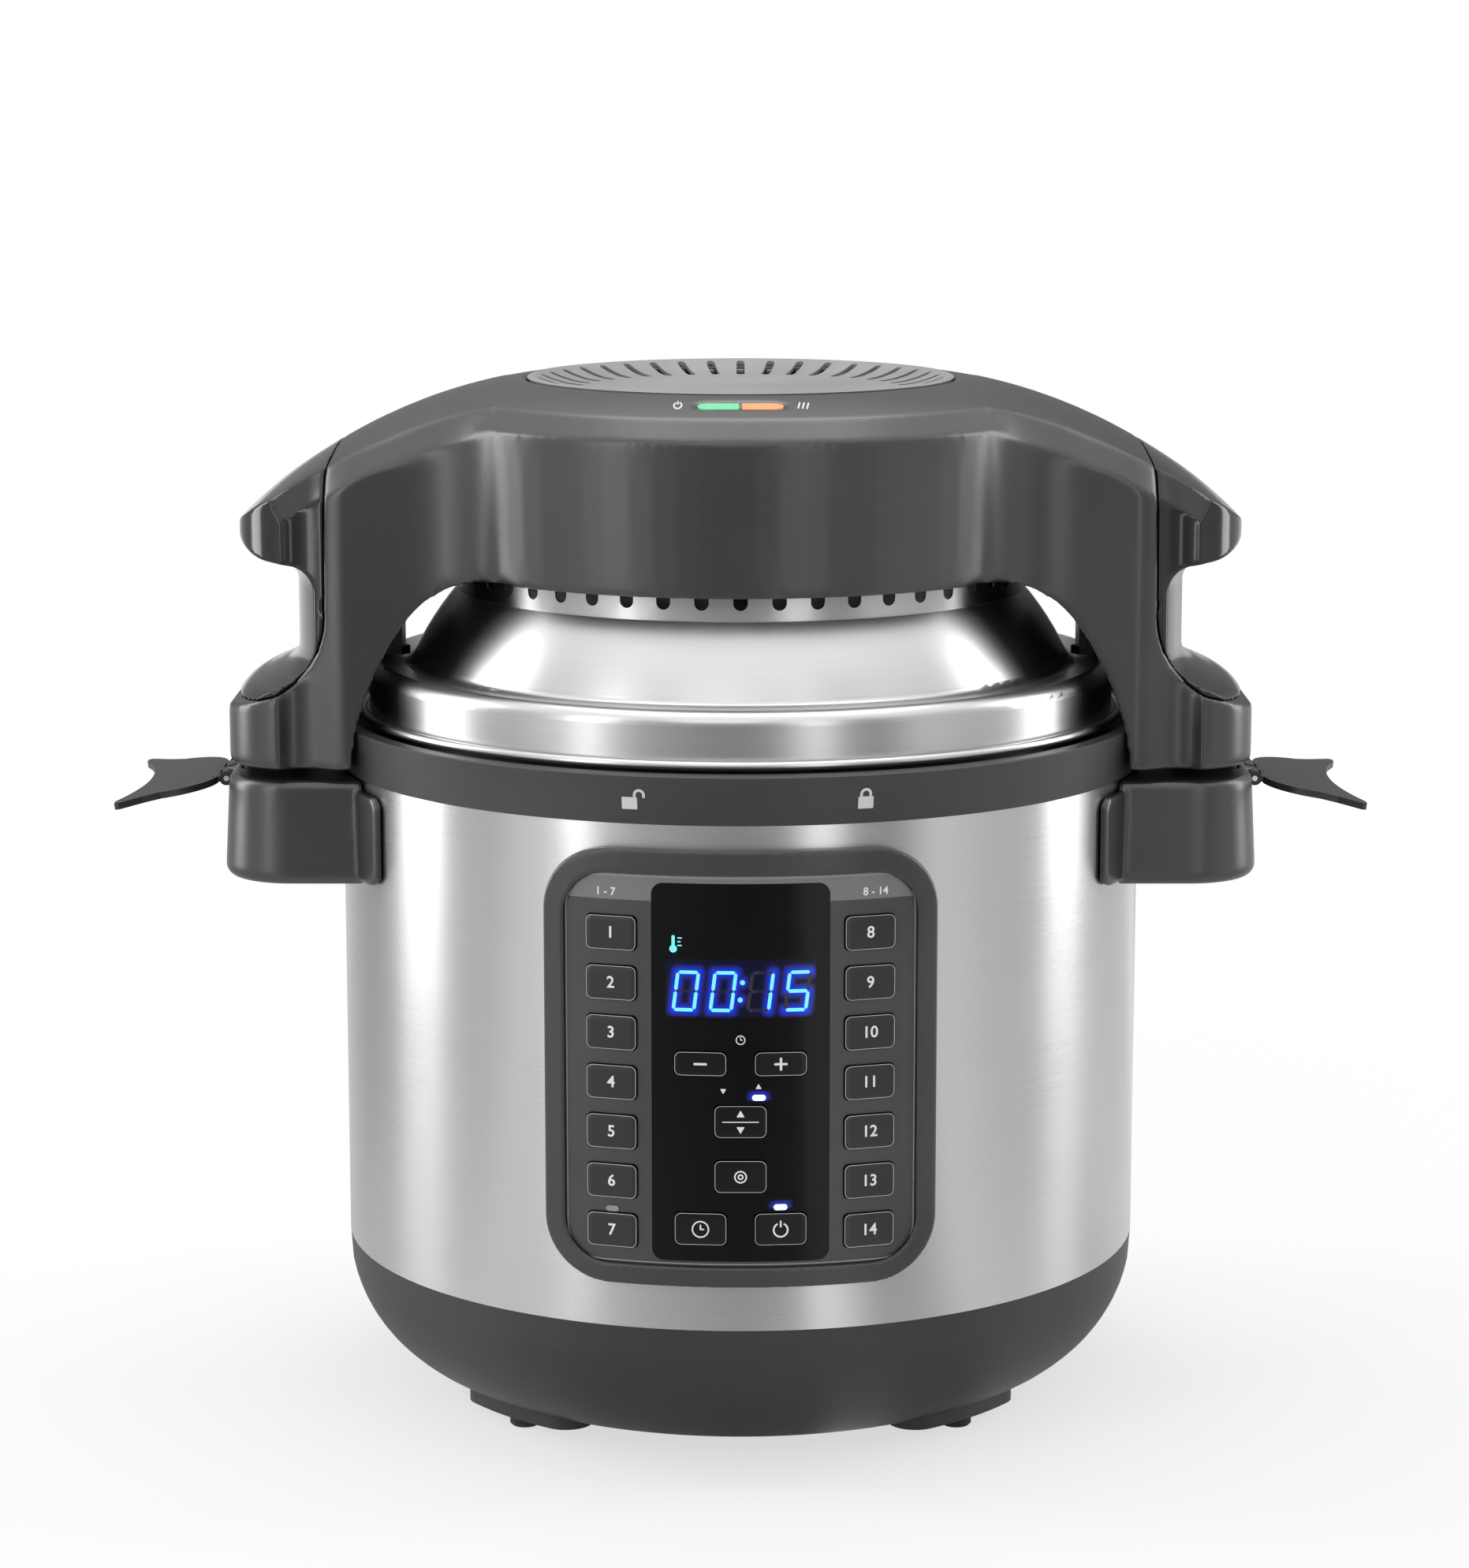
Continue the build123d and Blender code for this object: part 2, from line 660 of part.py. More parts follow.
for name, angle, height, tall in outer_keys + centre_keys:
    with BuildPart() as key:
        with BuildSketch(facing_plane(angle, key_back - key_lip_depth)):
            with Locations((0, height)):
                RectangleRounded(key_width + 2 * key_lip, tall + 2 * key_lip, key_corner)
        extrude(amount=key_lip_depth)
        with BuildSketch(facing_plane(angle, key_back)):
            with Locations((0, height)):
                RectangleRounded(key_width, tall, key_corner)
        extrude(amount=key_face - key_back)
    key.part.label = name
    export_step(key.part, f"parts/{name}.step")

with BuildPart() as digit_module:
    with BuildSketch(Plane.XZ.offset(board_plane)):
        with Locations((0, panel_centre + 27)):
            Rectangle(49, 20)
    extrude(amount=digit_depth)
digit_module.part.label = "digit_module"
export_step(digit_module.part, "parts/digit_module.step")

with BuildPart() as control_board:
    with BuildSketch(Plane.XZ.offset(board_plane)):
        with Locations((0, face_z)):
            RectangleRounded(88, face_height - 1, 2)
    extrude(amount=-1.6)
control_board.part.label = "control_board"
export_step(control_board.part, "parts/control_board.step")

# ---- power board: circuit board with its transformer, relay and capacitors in the bowl -------
board_floor = bowl_floor + bowl_wall + 8
board_offset = bowl_floor_radius * 0.62
with BuildPart() as power_board:
    with BuildSketch(Plane.XY.offset(board_floor)):
        with Locations((0, -board_offset)):
            Rectangle(96, 42)
    extrude(amount=1.6)
    with BuildSketch(Plane.XY.offset(board_floor)):
        with Locations((0, -board_offset)):
            with GridLocations(84, 30, 2, 2):
                Circle(3)
    extrude(amount=bowl_floor + bowl_wall - board_floor)
    with BuildSketch(Plane.XY.offset(board_floor + 1.6)):
        with Locations((-26, -board_offset)):
            Rectangle(26, 24)
        with Locations((8, 6 - board_offset)):
            Rectangle(18, 15)
        with Locations((34, 4 - board_offset), (22, -board_offset - 12)):
            Circle(5)
    extrude(amount=16)
power_board.part.label = "power_board"
export_step(power_board.part, "parts/power_board.step")

# ---- lid: steel skirt with rolled bead, ledge and dome ---------------------------------------
dome_foot = (ledge_radius - 3.5, shoulder_z + 1.5)
with BuildPart() as lid_skirt:
    with BuildSketch(Plane.XZ):
        with BuildLine():
            skirt = Line((skirt_radius, bead_z), (skirt_radius, shoulder_z - 5))
            shoulder = ThreePointArc(
                skirt @ 1,
                (skirt_radius - 1.5, shoulder_z - 1.5),
                (skirt_radius - 5, shoulder_z),
            )
            ledge = Line(shoulder @ 1, (ledge_radius, shoulder_z - 0.8))
            root = TangentArc(ledge @ 1, dome_foot, tangent=ledge % 1)
            cone_middle = (
                (dome_foot[0] + vent_radius + 0.8) / 2 + 0.9,
                (dome_foot[1] + dome_top) / 2 + 0.5,
            )
            cone = ThreePointArc(root @ 1, cone_middle, (vent_radius + 0.8, dome_top))
            Line(cone @ 1, (vent_radius - 4, dome_top))
            offset(amount=lid_sheet, side=Side.LEFT)
        make_face()
        with Locations((bead_place, bead_z)):
            Circle(bead_radius)
        with Locations((skirt_radius + 0.6, bead_z)):
            Rectangle(2, 1)
    revolve(axis=Axis.Z)
lid_skirt.part.label = "lid_skirt"
export_step(lid_skirt.part, "parts/lid_skirt.step")

with BuildPart() as lid_gasket:
    with BuildSketch(Plane.XY.offset(rim_top + body_gap)):
        Circle(pot_radius + pot_rim_width + 1)
        Circle(pot_radius + 1, mode=Mode.SUBTRACT)
    extrude(amount=gasket_height)
lid_gasket.part.label = "lid_gasket"
export_step(lid_gasket.part, "parts/lid_gasket.step")

with BuildPart() as heat_shield:
    with BuildSketch(Plane.XZ):
        with BuildLine():
            Polyline(
                (skirt_radius - lid_sheet - seat_gap, shield_seat),
                (shield_throat, shield_seat),
                (shield_throat - 1, shield_seat + 12),
                (vent_radius + 1, shield_top - 4),
                (vent_radius - 5, shield_top),
                (shaft_radius + 9, shield_top),
            )
            offset(amount=0.8, side=Side.RIGHT)
        make_face()
    revolve(axis=Axis.Z)
heat_shield.part.label = "heat_shield"
export_step(heat_shield.part, "parts/heat_shield.step")

# ---- vent ring: slotted drum with the motor plate on top --------------------------------------
with BuildPart() as vent_ring:
    with BuildSketch(Plane.XY.offset(dome_top)):
        Circle(vent_radius)
        Circle(vent_radius - 0.8, mode=Mode.SUBTRACT)
    extrude(amount=vent_height)
    with BuildSketch(Plane.XY.offset(cage_top)):
        Circle(vent_radius)
        Circle(2 * shaft_radius, mode=Mode.SUBTRACT)
        with PolarLocations((vent_radius + motor_radius) / 2, 6):
            Circle(15, mode=Mode.SUBTRACT)
    extrude(amount=1)
    slot_low = dome_top + 3.8 + vent_slot_width / 2
    for slot in range(vent_slots // 2):
        with BuildSketch(Plane.YZ.rotated((0, 0, 360 / vent_slots * slot))):
            with Locations((0, slot_low)):
                Circle(vent_slot_width / 2)
            with Locations((0, slot_low + 3.5)):
                Rectangle(vent_slot_width, 7)
        extrude(amount=vent_radius + 2, both=True, mode=Mode.SUBTRACT)
vent_ring.part.label = "vent_ring"
export_step(vent_ring.part, "parts/vent_ring.step")

with BuildPart() as fan_motor:
    with BuildSketch(Plane.XY.offset(cage_top + 1)):
        Circle(motor_radius)
    extrude(amount=motor_height)
    chamfer(fan_motor.edges().group_by(Axis.Z)[-1], 3)
    with BuildSketch(Plane.XY.offset(cage_top + 1)):
        with PolarLocations(motor_radius, 3):
            RectangleRounded(16, 12, 3)
    extrude(amount=3)
    with BuildSketch(Plane.XY.offset(cage_top + 1)):
        Circle(shaft_radius + shaft_gap)
    extrude(amount=motor_height, mode=Mode.SUBTRACT)
fan_motor.part.label = "fan_motor"
export_step(fan_motor.part, "parts/fan_motor.step")

# ---- fans on one shaft: air fan under the shield, cooling fan above the motor -----------------
fan_floor = shield_top - 20
with BuildPart() as convection_fan:
    with BuildSketch(Plane.XY.offset(fan_floor)):
        Circle(fan_radius)
    extrude(amount=1.2)
    with BuildSketch(Plane.XY.offset(fan_floor)):
        for blade in range(fan_blades):
            with Locations(Plane.XY.rotated((0, 0, 360 / fan_blades * blade)).location):
                with Locations(Location((fan_radius * 0.62, 0, 0), 18)):
                    Rectangle(fan_radius * 0.62, 1.2)
    extrude(amount=13)
    with BuildSketch(Plane.XY.offset(fan_floor)):
        Circle(10)
    extrude(amount=14)
    with BuildSketch(Plane.XY.offset(fan_floor)):
        Circle(shaft_radius)
    extrude(amount=motor_top + 14 - fan_floor)
convection_fan.part.label = "convection_fan"
export_step(convection_fan.part, "parts/convection_fan.step")

with BuildPart() as cooling_fan:
    with BuildSketch(Plane.XY.offset(motor_top + 3)):
        Circle(cooling_hub)
        for blade in range(7):
            with Locations(Plane.XY.rotated((0, 0, 360 / 7 * blade)).location):
                with Locations(Location((cooling_hub - 2, 0, 0), 14)):
                    Rectangle(cooling_radius - cooling_hub + 1, 2, align=(Align.MIN, Align.CENTER))
    extrude(amount=9)
    with BuildSketch(Plane.XY.offset(motor_top + 3)):
        Circle(shaft_radius + 0.03)
    extrude(amount=9, mode=Mode.SUBTRACT)
cooling_fan.part.label = "cooling_fan"
export_step(cooling_fan.part, "parts/cooling_fan.step")

# ---- heating coil: one tube laid in two rings, its ends rising to the shield -------------------
coil_opening = 24
with BuildPart() as heating_coil:
    with BuildLine(Plane.XY.offset(coil_z)) as coil_path:
        outer = CenterArc((0, 0), coil_radius, coil_opening, 360 - 2 * coil_opening)
        inner = CenterArc(
            (0, 0), coil_radius - coil_spacing, coil_opening, 360 - 2 * coil_opening
        )
        TangentArc(outer @ 1, inner @ 1, tangent=outer % 1)
    with BuildSketch(Plane(origin=outer @ 0, z_dir=outer % 0)):
        Circle(coil_tube)
    sweep(path=coil_path.wires()[0])
    for end in (outer @ 0, inner @ 0):
        with BuildSketch(Plane.XY.offset(coil_z)):
            with Locations((end.X, end.Y)):
                Circle(coil_tube)
        extrude(amount=shield_top - body_gap - coil_z)
heating_coil.part.label = "heating_coil"
export_step(heating_coil.part, "parts/heating_coil.step")

# ---- guard under the coil: flat rings joined by six arms ----------------------------------------
guard_radius = shield_throat + 1.5
with BuildPart() as guard_grille:
    with BuildSketch(Plane.XY.offset(shield_seat - 5)):
        for ring in range(1, guard_rings + 1):
            middle = 12 + (guard_radius - 14) * ring / guard_rings
            Circle(middle + 1.2)
            Circle(middle - 1.2, mode=Mode.SUBTRACT)
    extrude(amount=2)
    with BuildSketch(Plane.XY.offset(shield_seat - 5)):
        Circle(14)
        for arm in range(3):
            with Locations(Location((0, 0, 0), 60 * arm)):
                Rectangle(2 * guard_radius - 2, 3)
    extrude(amount=2)
    with BuildSketch(Plane.XY.offset(shield_seat - 5)):
        Circle(guard_radius)
        Circle(guard_radius - 3, mode=Mode.SUBTRACT)
    extrude(amount=5)
guard_grille.part.label = "guard_grille"
export_step(guard_grille.part, "parts/guard_grille.step")

# ---- lid housing: domed drum with two arms that fall away into legs ------------------------------
# Each arm is a loft. Its half width follows the fillet between drum and arm, and the bevel of
# the drum runs on along its upper edges.
root_reach = drum_radius + arm_root_fillet
root_side = arm_half_width + arm_root_fillet
root_centre = math.sqrt(root_reach**2 - root_side**2)
root_start = root_centre * drum_radius / root_reach
bevel_radius = arm_root_fillet + drum_edge_inset
ridge_root_z = edge_z + arm_crown


def root_arc(x, radius):
    """Half width at x of an arc about the centre of the root fillet."""
    inward = max(root_centre - x, 0)
    return root_side - math.sqrt(radius**2 - inward**2)


def along_arm(x):
    """Share of the way from the root of the arm to the end of its wing."""
    return (x - root_start) / (wing_reach - root_start)


def ridge_height(x):
    """Height of the arm's middle line at x."""
    t = along_arm(x)
    return ridge_root_z - arm_fall * t - arm_bend * t**2


def upper_edge(x):
    """Height of the bevel's upper edge at x."""
    t = min(along_arm(x), 1)
    return ridge_height(x) - arm_crown - 4.85 * t + 8.95 * t**2


def lower_edge(x):
    """Height of the bevel's lower edge at x."""
    t = min(along_arm(x), 1)
    return upper_edge(x) - arm_edge_drop + (arm_edge_drop - edge_z + crease_z) * (1 - t) ** 8


loft_places = [root_start + (root_centre - root_start) * step / 5 for step in range(6)]
loft_places += [root_centre + (leg_reach + 4 - root_centre) * step / 3 for step in (1, 2, 3)]
with BuildPart() as arm_form:
    for x in loft_places:
        half = root_arc(x, arm_root_fillet)
        inner_half = root_arc(x, bevel_radius)
        with BuildSketch(Plane.YZ.offset(x)):
            with BuildLine():
                sides = Polyline(
                    (-inner_half, upper_edge(x)),
                    (-half, lower_edge(x)),
                    (-half, leg_bottom),
                    (half, leg_bottom),
                    (half, lower_edge(x)),
                    (inner_half, upper_edge(x)),
                )
                ThreePointArc(sides @ 1, (0, ridge_height(x)), sides @ 0)
            make_face()
    loft()
arm_solid = arm_form.part

seam_x = grip_radius - grip_lining
pad_z = collar_top + 7
gap_middle = collar_top + 36
with BuildPart() as matte_side:
    with BuildSketch(Plane.XZ):
        with BuildLine():
            seam = Polyline(
                (seam_x - 7, top_z),
                (seam_x - 0.8, collar_top + 90),
                (seam_x, collar_top + 44),
            )
            turn = ThreePointArc(
                seam @ 1,
                (seam_x + 4.5, collar_top + 25),
                (seam_x + 17.5, collar_top + 13),
            )
            Polyline(
                turn @ 1,
                (leg_reach + 6, pad_z - 1),
                (leg_reach + 6, leg_bottom - 5),
                (0, leg_bottom - 5),
                (0, top_z),
                (seam_x - 7, top_z),
            )
        make_face()
    extrude(amount=2 * arm_half_width, both=True)
matte_block = matte_side.part

with BuildPart() as leg_plan:
    with BuildSketch(Plane.XY.offset(leg_bottom)) as leg_outline:
        with Locations((leg_reach * 0.75, 0)):
            Rectangle(leg_reach / 2, 2 * arm_half_width)
        fillet(leg_outline.vertices().group_by(Axis.X)[-1], leg_corner)
    extrude(amount=top_z - leg_bottom)
    fillet(leg_plan.edges().group_by(Axis.Z)[0].sort_by(Axis.X)[1:], leg_edge)
    with BuildSketch(Plane.XY.offset(leg_bottom)):
        with Locations((root_centre / 2, 0)):
            Rectangle(root_centre, 4 * arm_half_width)
    extrude(amount=top_z - leg_bottom)
leg_block = leg_plan.part

with BuildPart() as arm_right:
    add(arm_solid)
    add(matte_block, mode=Mode.INTERSECT)
    add(leg_block, mode=Mode.INTERSECT)

# room under the housing: clears the collar and the skirt, then closes over the dome
with BuildPart() as room_form:
    with BuildSketch(Plane.XZ):
        with BuildLine():
            room = Polyline(
                (0, drum_bottom_z),
                (0, leg_bottom - 1),
                (shell_radius + 4, leg_bottom - 1),
                (shell_radius + 4, collar_top - 8),
            )
            vault = ThreePointArc(
                room @ 1,
                (shell_radius - 2.5, collar_top + 18),
                (shell_radius - 15, collar_top + 41.5),
            )
            roof = TangentArc(vault @ 1, (drum_radius - 1, drum_bottom_z), tangent=vault % 1)
            Line(roof @ 1, room @ 0)
        make_face()
    revolve(axis=Axis.Z)

with BuildPart() as lid_housing:
    with BuildSketch(Plane.XZ):
        with BuildLine():
            wall = Polyline(
                (0, drum_bottom_z - 5),
                (drum_radius - 1.5, drum_bottom_z - 5),
                (drum_radius, crease_z),
                (edge_radius, edge_z),
            )
            crown = ThreePointArc(
                (0, top_z),
                (disc_radius / 2, top_z - disc_drop / 4),
                (disc_radius, disc_edge_z),
            )
            TangentArc(crown @ 1, wall @ 1, tangent=crown % 1)
            Line(crown @ 0, wall @ 0)
        make_face()
    revolve(axis=Axis.Z)
    add(arm_right.part)
    mirror(arm_right.part, about=Plane.YZ)
    add(room_form.part, mode=Mode.SUBTRACT)
    # inside of the drum
    with BuildSketch(Plane.XZ):
        with BuildLine():
            inner = Polyline(
                (0, drum_bottom_z - 1),
                (drum_radius - 1.5 - housing_wall, drum_bottom_z - 1),
                (drum_radius - housing_wall - 1, crease_z - housing_wall),
                (edge_radius - housing_wall, edge_z - housing_wall - 1),
                (disc_radius, disc_edge_z - 2 * housing_wall),
                (disc_radius - 6, disc_edge_z - 2 * housing_wall),
                (disc_radius - 6, top_z + 1),
                (0, top_z + 1),
                close=True,
            )
        make_face()
    revolve(axis=Axis.Z, mode=Mode.SUBTRACT)
    # seat of the vent disc
    with BuildSketch(Plane.XY.offset(disc_edge_z - disc_thickness)):
        Circle(disc_radius + panel_gap)
    extrude(amount=2 * disc_thickness + disc_drop, mode=Mode.SUBTRACT)
    # four bosses that stand on the motor plate
    with BuildSketch(Plane.XY.offset(cage_top + 1)):
        with PolarLocations(vent_radius - 9, 4, start_angle=45):
            Circle(5)
    extrude(amount=edge_z - housing_wall - cage_top)
    # pockets for the plugs in the legs
    with BuildSketch(Plane.XY.offset(leg_bottom)):
        with Locations((socket_middle, 0), (-socket_middle, 0)):
            RectangleRounded(socket_width - 1, 2 * plug_half_length + 1, 3)
    extrude(amount=15, mode=Mode.SUBTRACT)
    # recess of the signal lenses
    with BuildSketch(lens_plane.offset(-lens_recess)):
        SlotOverall(2 * lens_length + 3.5, lens_height + 2)
    extrude(amount=12, mode=Mode.SUBTRACT)
lid_housing.part.label = "lid_housing"
export_step(lid_housing.part, "parts/lid_housing.step")

# ---- glossy grips: wing, lining of the finger gap and pad on each leg -----------------------------
with BuildPart() as grip_plan:
    with BuildSketch(Plane.XY.offset(leg_bottom)) as pad_outline:
        with Locations((leg_reach * 0.75, 0)):
            Rectangle(leg_reach / 2 - 1, 2 * arm_half_width - 0.4)
        fillet(pad_outline.vertices().group_by(Axis.X)[-1], leg_corner)
    extrude(amount=gap_middle - leg_bottom)
    with BuildSketch(Plane.XY.offset(gap_middle)) as wing_outline:
        with Locations((wing_reach * 0.75, 0)):
            Rectangle(wing_reach / 2, 2 * arm_half_width - 0.4)
        fillet(wing_outline.vertices().group_by(Axis.X)[-1], wing_corner)
    extrude(amount=top_z - gap_middle)

with BuildPart() as grip_right:
    add(arm_solid)
    add(matte_block.moved(Location((panel_gap, 0, panel_gap))), mode=Mode.SUBTRACT)
    add(grip_plan.part, mode=Mode.INTERSECT)
    with BuildSketch(radial_plane(-30)):
        with BuildLine():
            wall = Line((grip_radius, collar_top + 28), (grip_radius, collar_top + 49))
            under = ThreePointArc(
                wall @ 1,
                (grip_radius + 1.8, collar_top + 55.6),
                (grip_radius + 6.5, collar_top + 58.9),
            )
            belly = Line(under @ 1, (wing_reach - 4.5, collar_top + 60.4))
            nose = ThreePointArc(
                belly @ 1,
                (wing_reach + 0.4, collar_top + 62.8),
                (wing_reach + 2.8, collar_top + 68),
            )
            away = Polyline(
                nose @ 1,
                (leg_reach + 40, collar_top + 68),
                (leg_reach + 40, collar_top + 3),
                (leg_reach + 1, collar_top + 3),
            )
            lip = ThreePointArc(
                away @ 1,
                (leg_reach - 3.2, collar_top + 11.6),
                (grip_radius + 13, collar_top + 15.6),
            )
            pad = Line(lip @ 1, (grip_radius + 7, collar_top + 18.4))
            ThreePointArc(pad @ 1, (grip_radius + 1.8, collar_top + 22), wall @ 0)
        make_face()
    revolve(axis=Axis.Z, revolution_arc=60, mode=Mode.SUBTRACT)
grip_right.part.label = "grip_right"
export_step(grip_right.part, "parts/grip_right.step")

with BuildPart() as grip_left:
    mirror(grip_right.part, about=Plane.YZ)
grip_left.part.label = "grip_left"
export_step(grip_left.part, "parts/grip_left.step")

# ---- vent disc: domed cap, slanted slots round its back and sides ------------------------------------
with BuildPart() as vent_disc:
    with BuildSketch(Plane.XZ):
        with BuildLine():
            cap = ThreePointArc(
                (0, top_z),
                (disc_radius / 2, top_z - disc_drop / 4),
                (disc_radius, disc_edge_z),
            )
            Polyline(
                cap @ 1,
                (disc_radius, disc_edge_z - disc_thickness + seat_gap),
                (0, disc_edge_z - disc_thickness + seat_gap),
                cap @ 0,
            )
        make_face()
    revolve(axis=Axis.Z)
    with BuildSketch(Plane.XY.offset(disc_edge_z - disc_thickness)):
        Circle(disc_radius - 8)
    extrude(amount=disc_thickness - disc_wall, mode=Mode.SUBTRACT)
    with BuildSketch(Plane.XY.offset(disc_edge_z - 2 * disc_thickness)):
        for slot in range(disc_slots):
            azimuth = 90 + disc_slot_span * ((slot + 0.5) / disc_slots - 0.5)
            with Locations(Plane.XY.rotated((0, 0, azimuth)).location):
                with Locations(Location((disc_radius - 13, 0, 0), 24)):
                    SlotOverall(19, disc_slot_width)
    extrude(amount=2 * disc_drop + 2 * disc_thickness, mode=Mode.SUBTRACT)
vent_disc.part.label = "vent_disc"
export_step(vent_disc.part, "parts/vent_disc.step")

with BuildPart() as signal_lenses:
    with BuildSketch(lens_plane.offset(-lens_recess)):
        SlotOverall(2 * lens_length + 1.5, lens_height)
        Rectangle(1.2, lens_height, mode=Mode.SUBTRACT)
    extrude(amount=lens_recess - 0.9)
signal_lenses.part.label = "signal_lenses"
export_step(signal_lenses.part, "parts/signal_lenses.step")

# ---- brackets in the legs: hex foot on the ledge, post up into the vault ------------------------------
foot_z = shoulder_z + seat_gap
bracket_place = ledge_radius + 3.8
with BuildPart() as lid_brackets:
    for side in (-1, 1):
        with BuildSketch(Plane.XY.offset(foot_z + 3)):
            with Locations((side * (bracket_place + 1.8), 0)):
                Rectangle(10, post_width)
            with Locations((side * (bracket_place + 1.8), 0)):
                Rectangle(4, post_width + 8)
    extrude(amount=drum_bottom)
    add(room_form.part.moved(Location((0, 0, -seat_gap))), mode=Mode.INTERSECT)
    with BuildSketch(Plane.XY.offset(foot_z)):
        for side in (-1, 1):
            with Locations((side * bracket_place, 0)):
                RegularPolygon(5.5, 6)
    extrude(amount=3)
lid_brackets.part.label = "lid_brackets"
export_step(lid_brackets.part, "parts/lid_brackets.step")

# ---- plugs: blocks under the legs with three blades each ------------------------------------------------
with BuildPart() as lid_plugs:
    with BuildSketch(Plane.XY.offset(handle_top - plug_depth)):
        with Locations((socket_middle, 0), (-socket_middle, 0)):
            RectangleRounded(socket_width - 1.6, 2 * plug_half_length, 2.5)
    extrude(amount=plug_depth + leg_gap + 14.8)
    with BuildSketch(Plane.XY.offset(handle_top - plug_depth)):
        with Locations((socket_middle, 0), (-socket_middle, 0)):
            with GridLocations(0, blade_pitch, 1, 3):
                Rectangle(6.3, 1.6)
    extrude(amount=-3)
lid_plugs.part.label = "lid_plugs"
export_step(lid_plugs.part, "parts/lid_plugs.step")
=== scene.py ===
import json
import math

import bpy
from mathutils import Matrix, Vector


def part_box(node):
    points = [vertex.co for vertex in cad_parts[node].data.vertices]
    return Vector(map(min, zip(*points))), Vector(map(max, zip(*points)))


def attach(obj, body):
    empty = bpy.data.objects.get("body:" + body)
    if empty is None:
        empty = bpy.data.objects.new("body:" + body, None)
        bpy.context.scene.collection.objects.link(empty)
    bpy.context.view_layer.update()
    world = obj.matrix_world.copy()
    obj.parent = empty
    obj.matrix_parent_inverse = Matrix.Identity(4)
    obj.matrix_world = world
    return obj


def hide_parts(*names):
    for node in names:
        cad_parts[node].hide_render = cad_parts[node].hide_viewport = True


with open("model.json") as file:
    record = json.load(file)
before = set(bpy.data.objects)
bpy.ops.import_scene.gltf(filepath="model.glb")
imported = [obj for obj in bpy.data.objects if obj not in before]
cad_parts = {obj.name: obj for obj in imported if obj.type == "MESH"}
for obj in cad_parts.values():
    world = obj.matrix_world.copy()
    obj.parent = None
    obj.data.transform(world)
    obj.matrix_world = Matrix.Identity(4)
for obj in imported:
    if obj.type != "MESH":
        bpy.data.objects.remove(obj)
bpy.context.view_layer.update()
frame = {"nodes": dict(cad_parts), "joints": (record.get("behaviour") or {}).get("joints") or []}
nodes = frame["nodes"]
joints = {joint["child"]: joint for joint in frame["joints"]}
print("frame loaded with", len(nodes), "nodes")


# small helpers for nodes and groups
def feed(tree, node, values):
    for name, value in values.items():
        if isinstance(value, bpy.types.NodeSocket):
            tree.links.new(value, node.inputs[name])
        else:
            node.inputs[name].default_value = value


def addNode(tree, kind, values=None, **settings):
    node = tree.nodes.new(kind)
    for name, value in settings.items():
        setattr(node, name, value)
    feed(tree, node, values or {})
    return node


def mathNode(tree, operation, first, second):
    return addNode(tree, "ShaderNodeMath", {0: first, 1: second}, operation=operation).outputs[0]


def rangeNode(tree, value, fromLow, fromHigh, toLow, toHigh, smooth=False):
    node = addNode(tree, "ShaderNodeMapRange", {
        "Value": value, "From Min": fromLow, "From Max": fromHigh, "To Min": toLow, "To Max": toHigh,
    }, interpolation_type="SMOOTHSTEP" if smooth else "LINEAR")
    return node.outputs["Result"]


def mixColor(tree, factor, first, second):
    return addNode(tree, "ShaderNodeMix", {0: factor, 6: first, 7: second}, data_type="RGBA").outputs[2]


def bumpNode(tree, strength, distance, height):
    bump = addNode(tree, "ShaderNodeBump", {"Strength": strength, "Distance": distance, "Height": height})
    return bump.outputs["Normal"]


def startGroup(name, inputs, outputs):
    group = bpy.data.node_groups.new(name, "ShaderNodeTree")
    for label, kind, value in inputs:
        socket = group.interface.new_socket(name=label, in_out="INPUT", socket_type=kind)
        if value is not None:
            socket.default_value = value
    for label, kind in outputs:
        group.interface.new_socket(name=label, in_out="OUTPUT", socket_type=kind)
    entry = group.nodes.new("NodeGroupInput").outputs
    leave = group.nodes.new("NodeGroupOutput").inputs
    return group, entry, leave


# moulded skin: fine grain for the bump, broad handling patches for tone and gloss
def buildMouldedSkin():
    group, entry, leave = startGroup(
        "mouldedSkin",
        [("Vector", "NodeSocketVector", None), ("Grain Scale", "NodeSocketFloat", 1800.0),
         ("Patch Scale", "NodeSocketFloat", 16.0)],
        [("Tone", "NodeSocketFloat"), ("Gloss Patch", "NodeSocketFloat"), ("Grain", "NodeSocketFloat")],
    )
    fine = addNode(group, "ShaderNodeTexNoise", {
        "Vector": entry["Vector"], "Scale": entry["Grain Scale"], "Detail": 3.0, "Roughness": 0.6})
    patch = addNode(group, "ShaderNodeTexNoise", {
        "Vector": entry["Vector"], "Scale": entry["Patch Scale"], "Detail": 4.0, "Roughness": 0.55})
    smear = addNode(group, "ShaderNodeTexNoise", {
        "Vector": entry["Vector"], "Scale": mathNode(group, "MULTIPLY", entry["Patch Scale"], 5.3),
        "Detail": 2.0, "Distortion": 1.2})
    tone = rangeNode(group, patch.outputs["Fac"], 0.3, 0.7, 0.0, 1.0, True)
    gloss = mathNode(group, "ADD", mathNode(group, "MULTIPLY", tone, 0.6),
                     mathNode(group, "MULTIPLY", smear.outputs["Fac"], 0.4))
    group.links.new(tone, leave["Tone"])
    group.links.new(gloss, leave["Gloss Patch"])
    group.links.new(fine.outputs["Fac"], leave["Grain"])
    return group


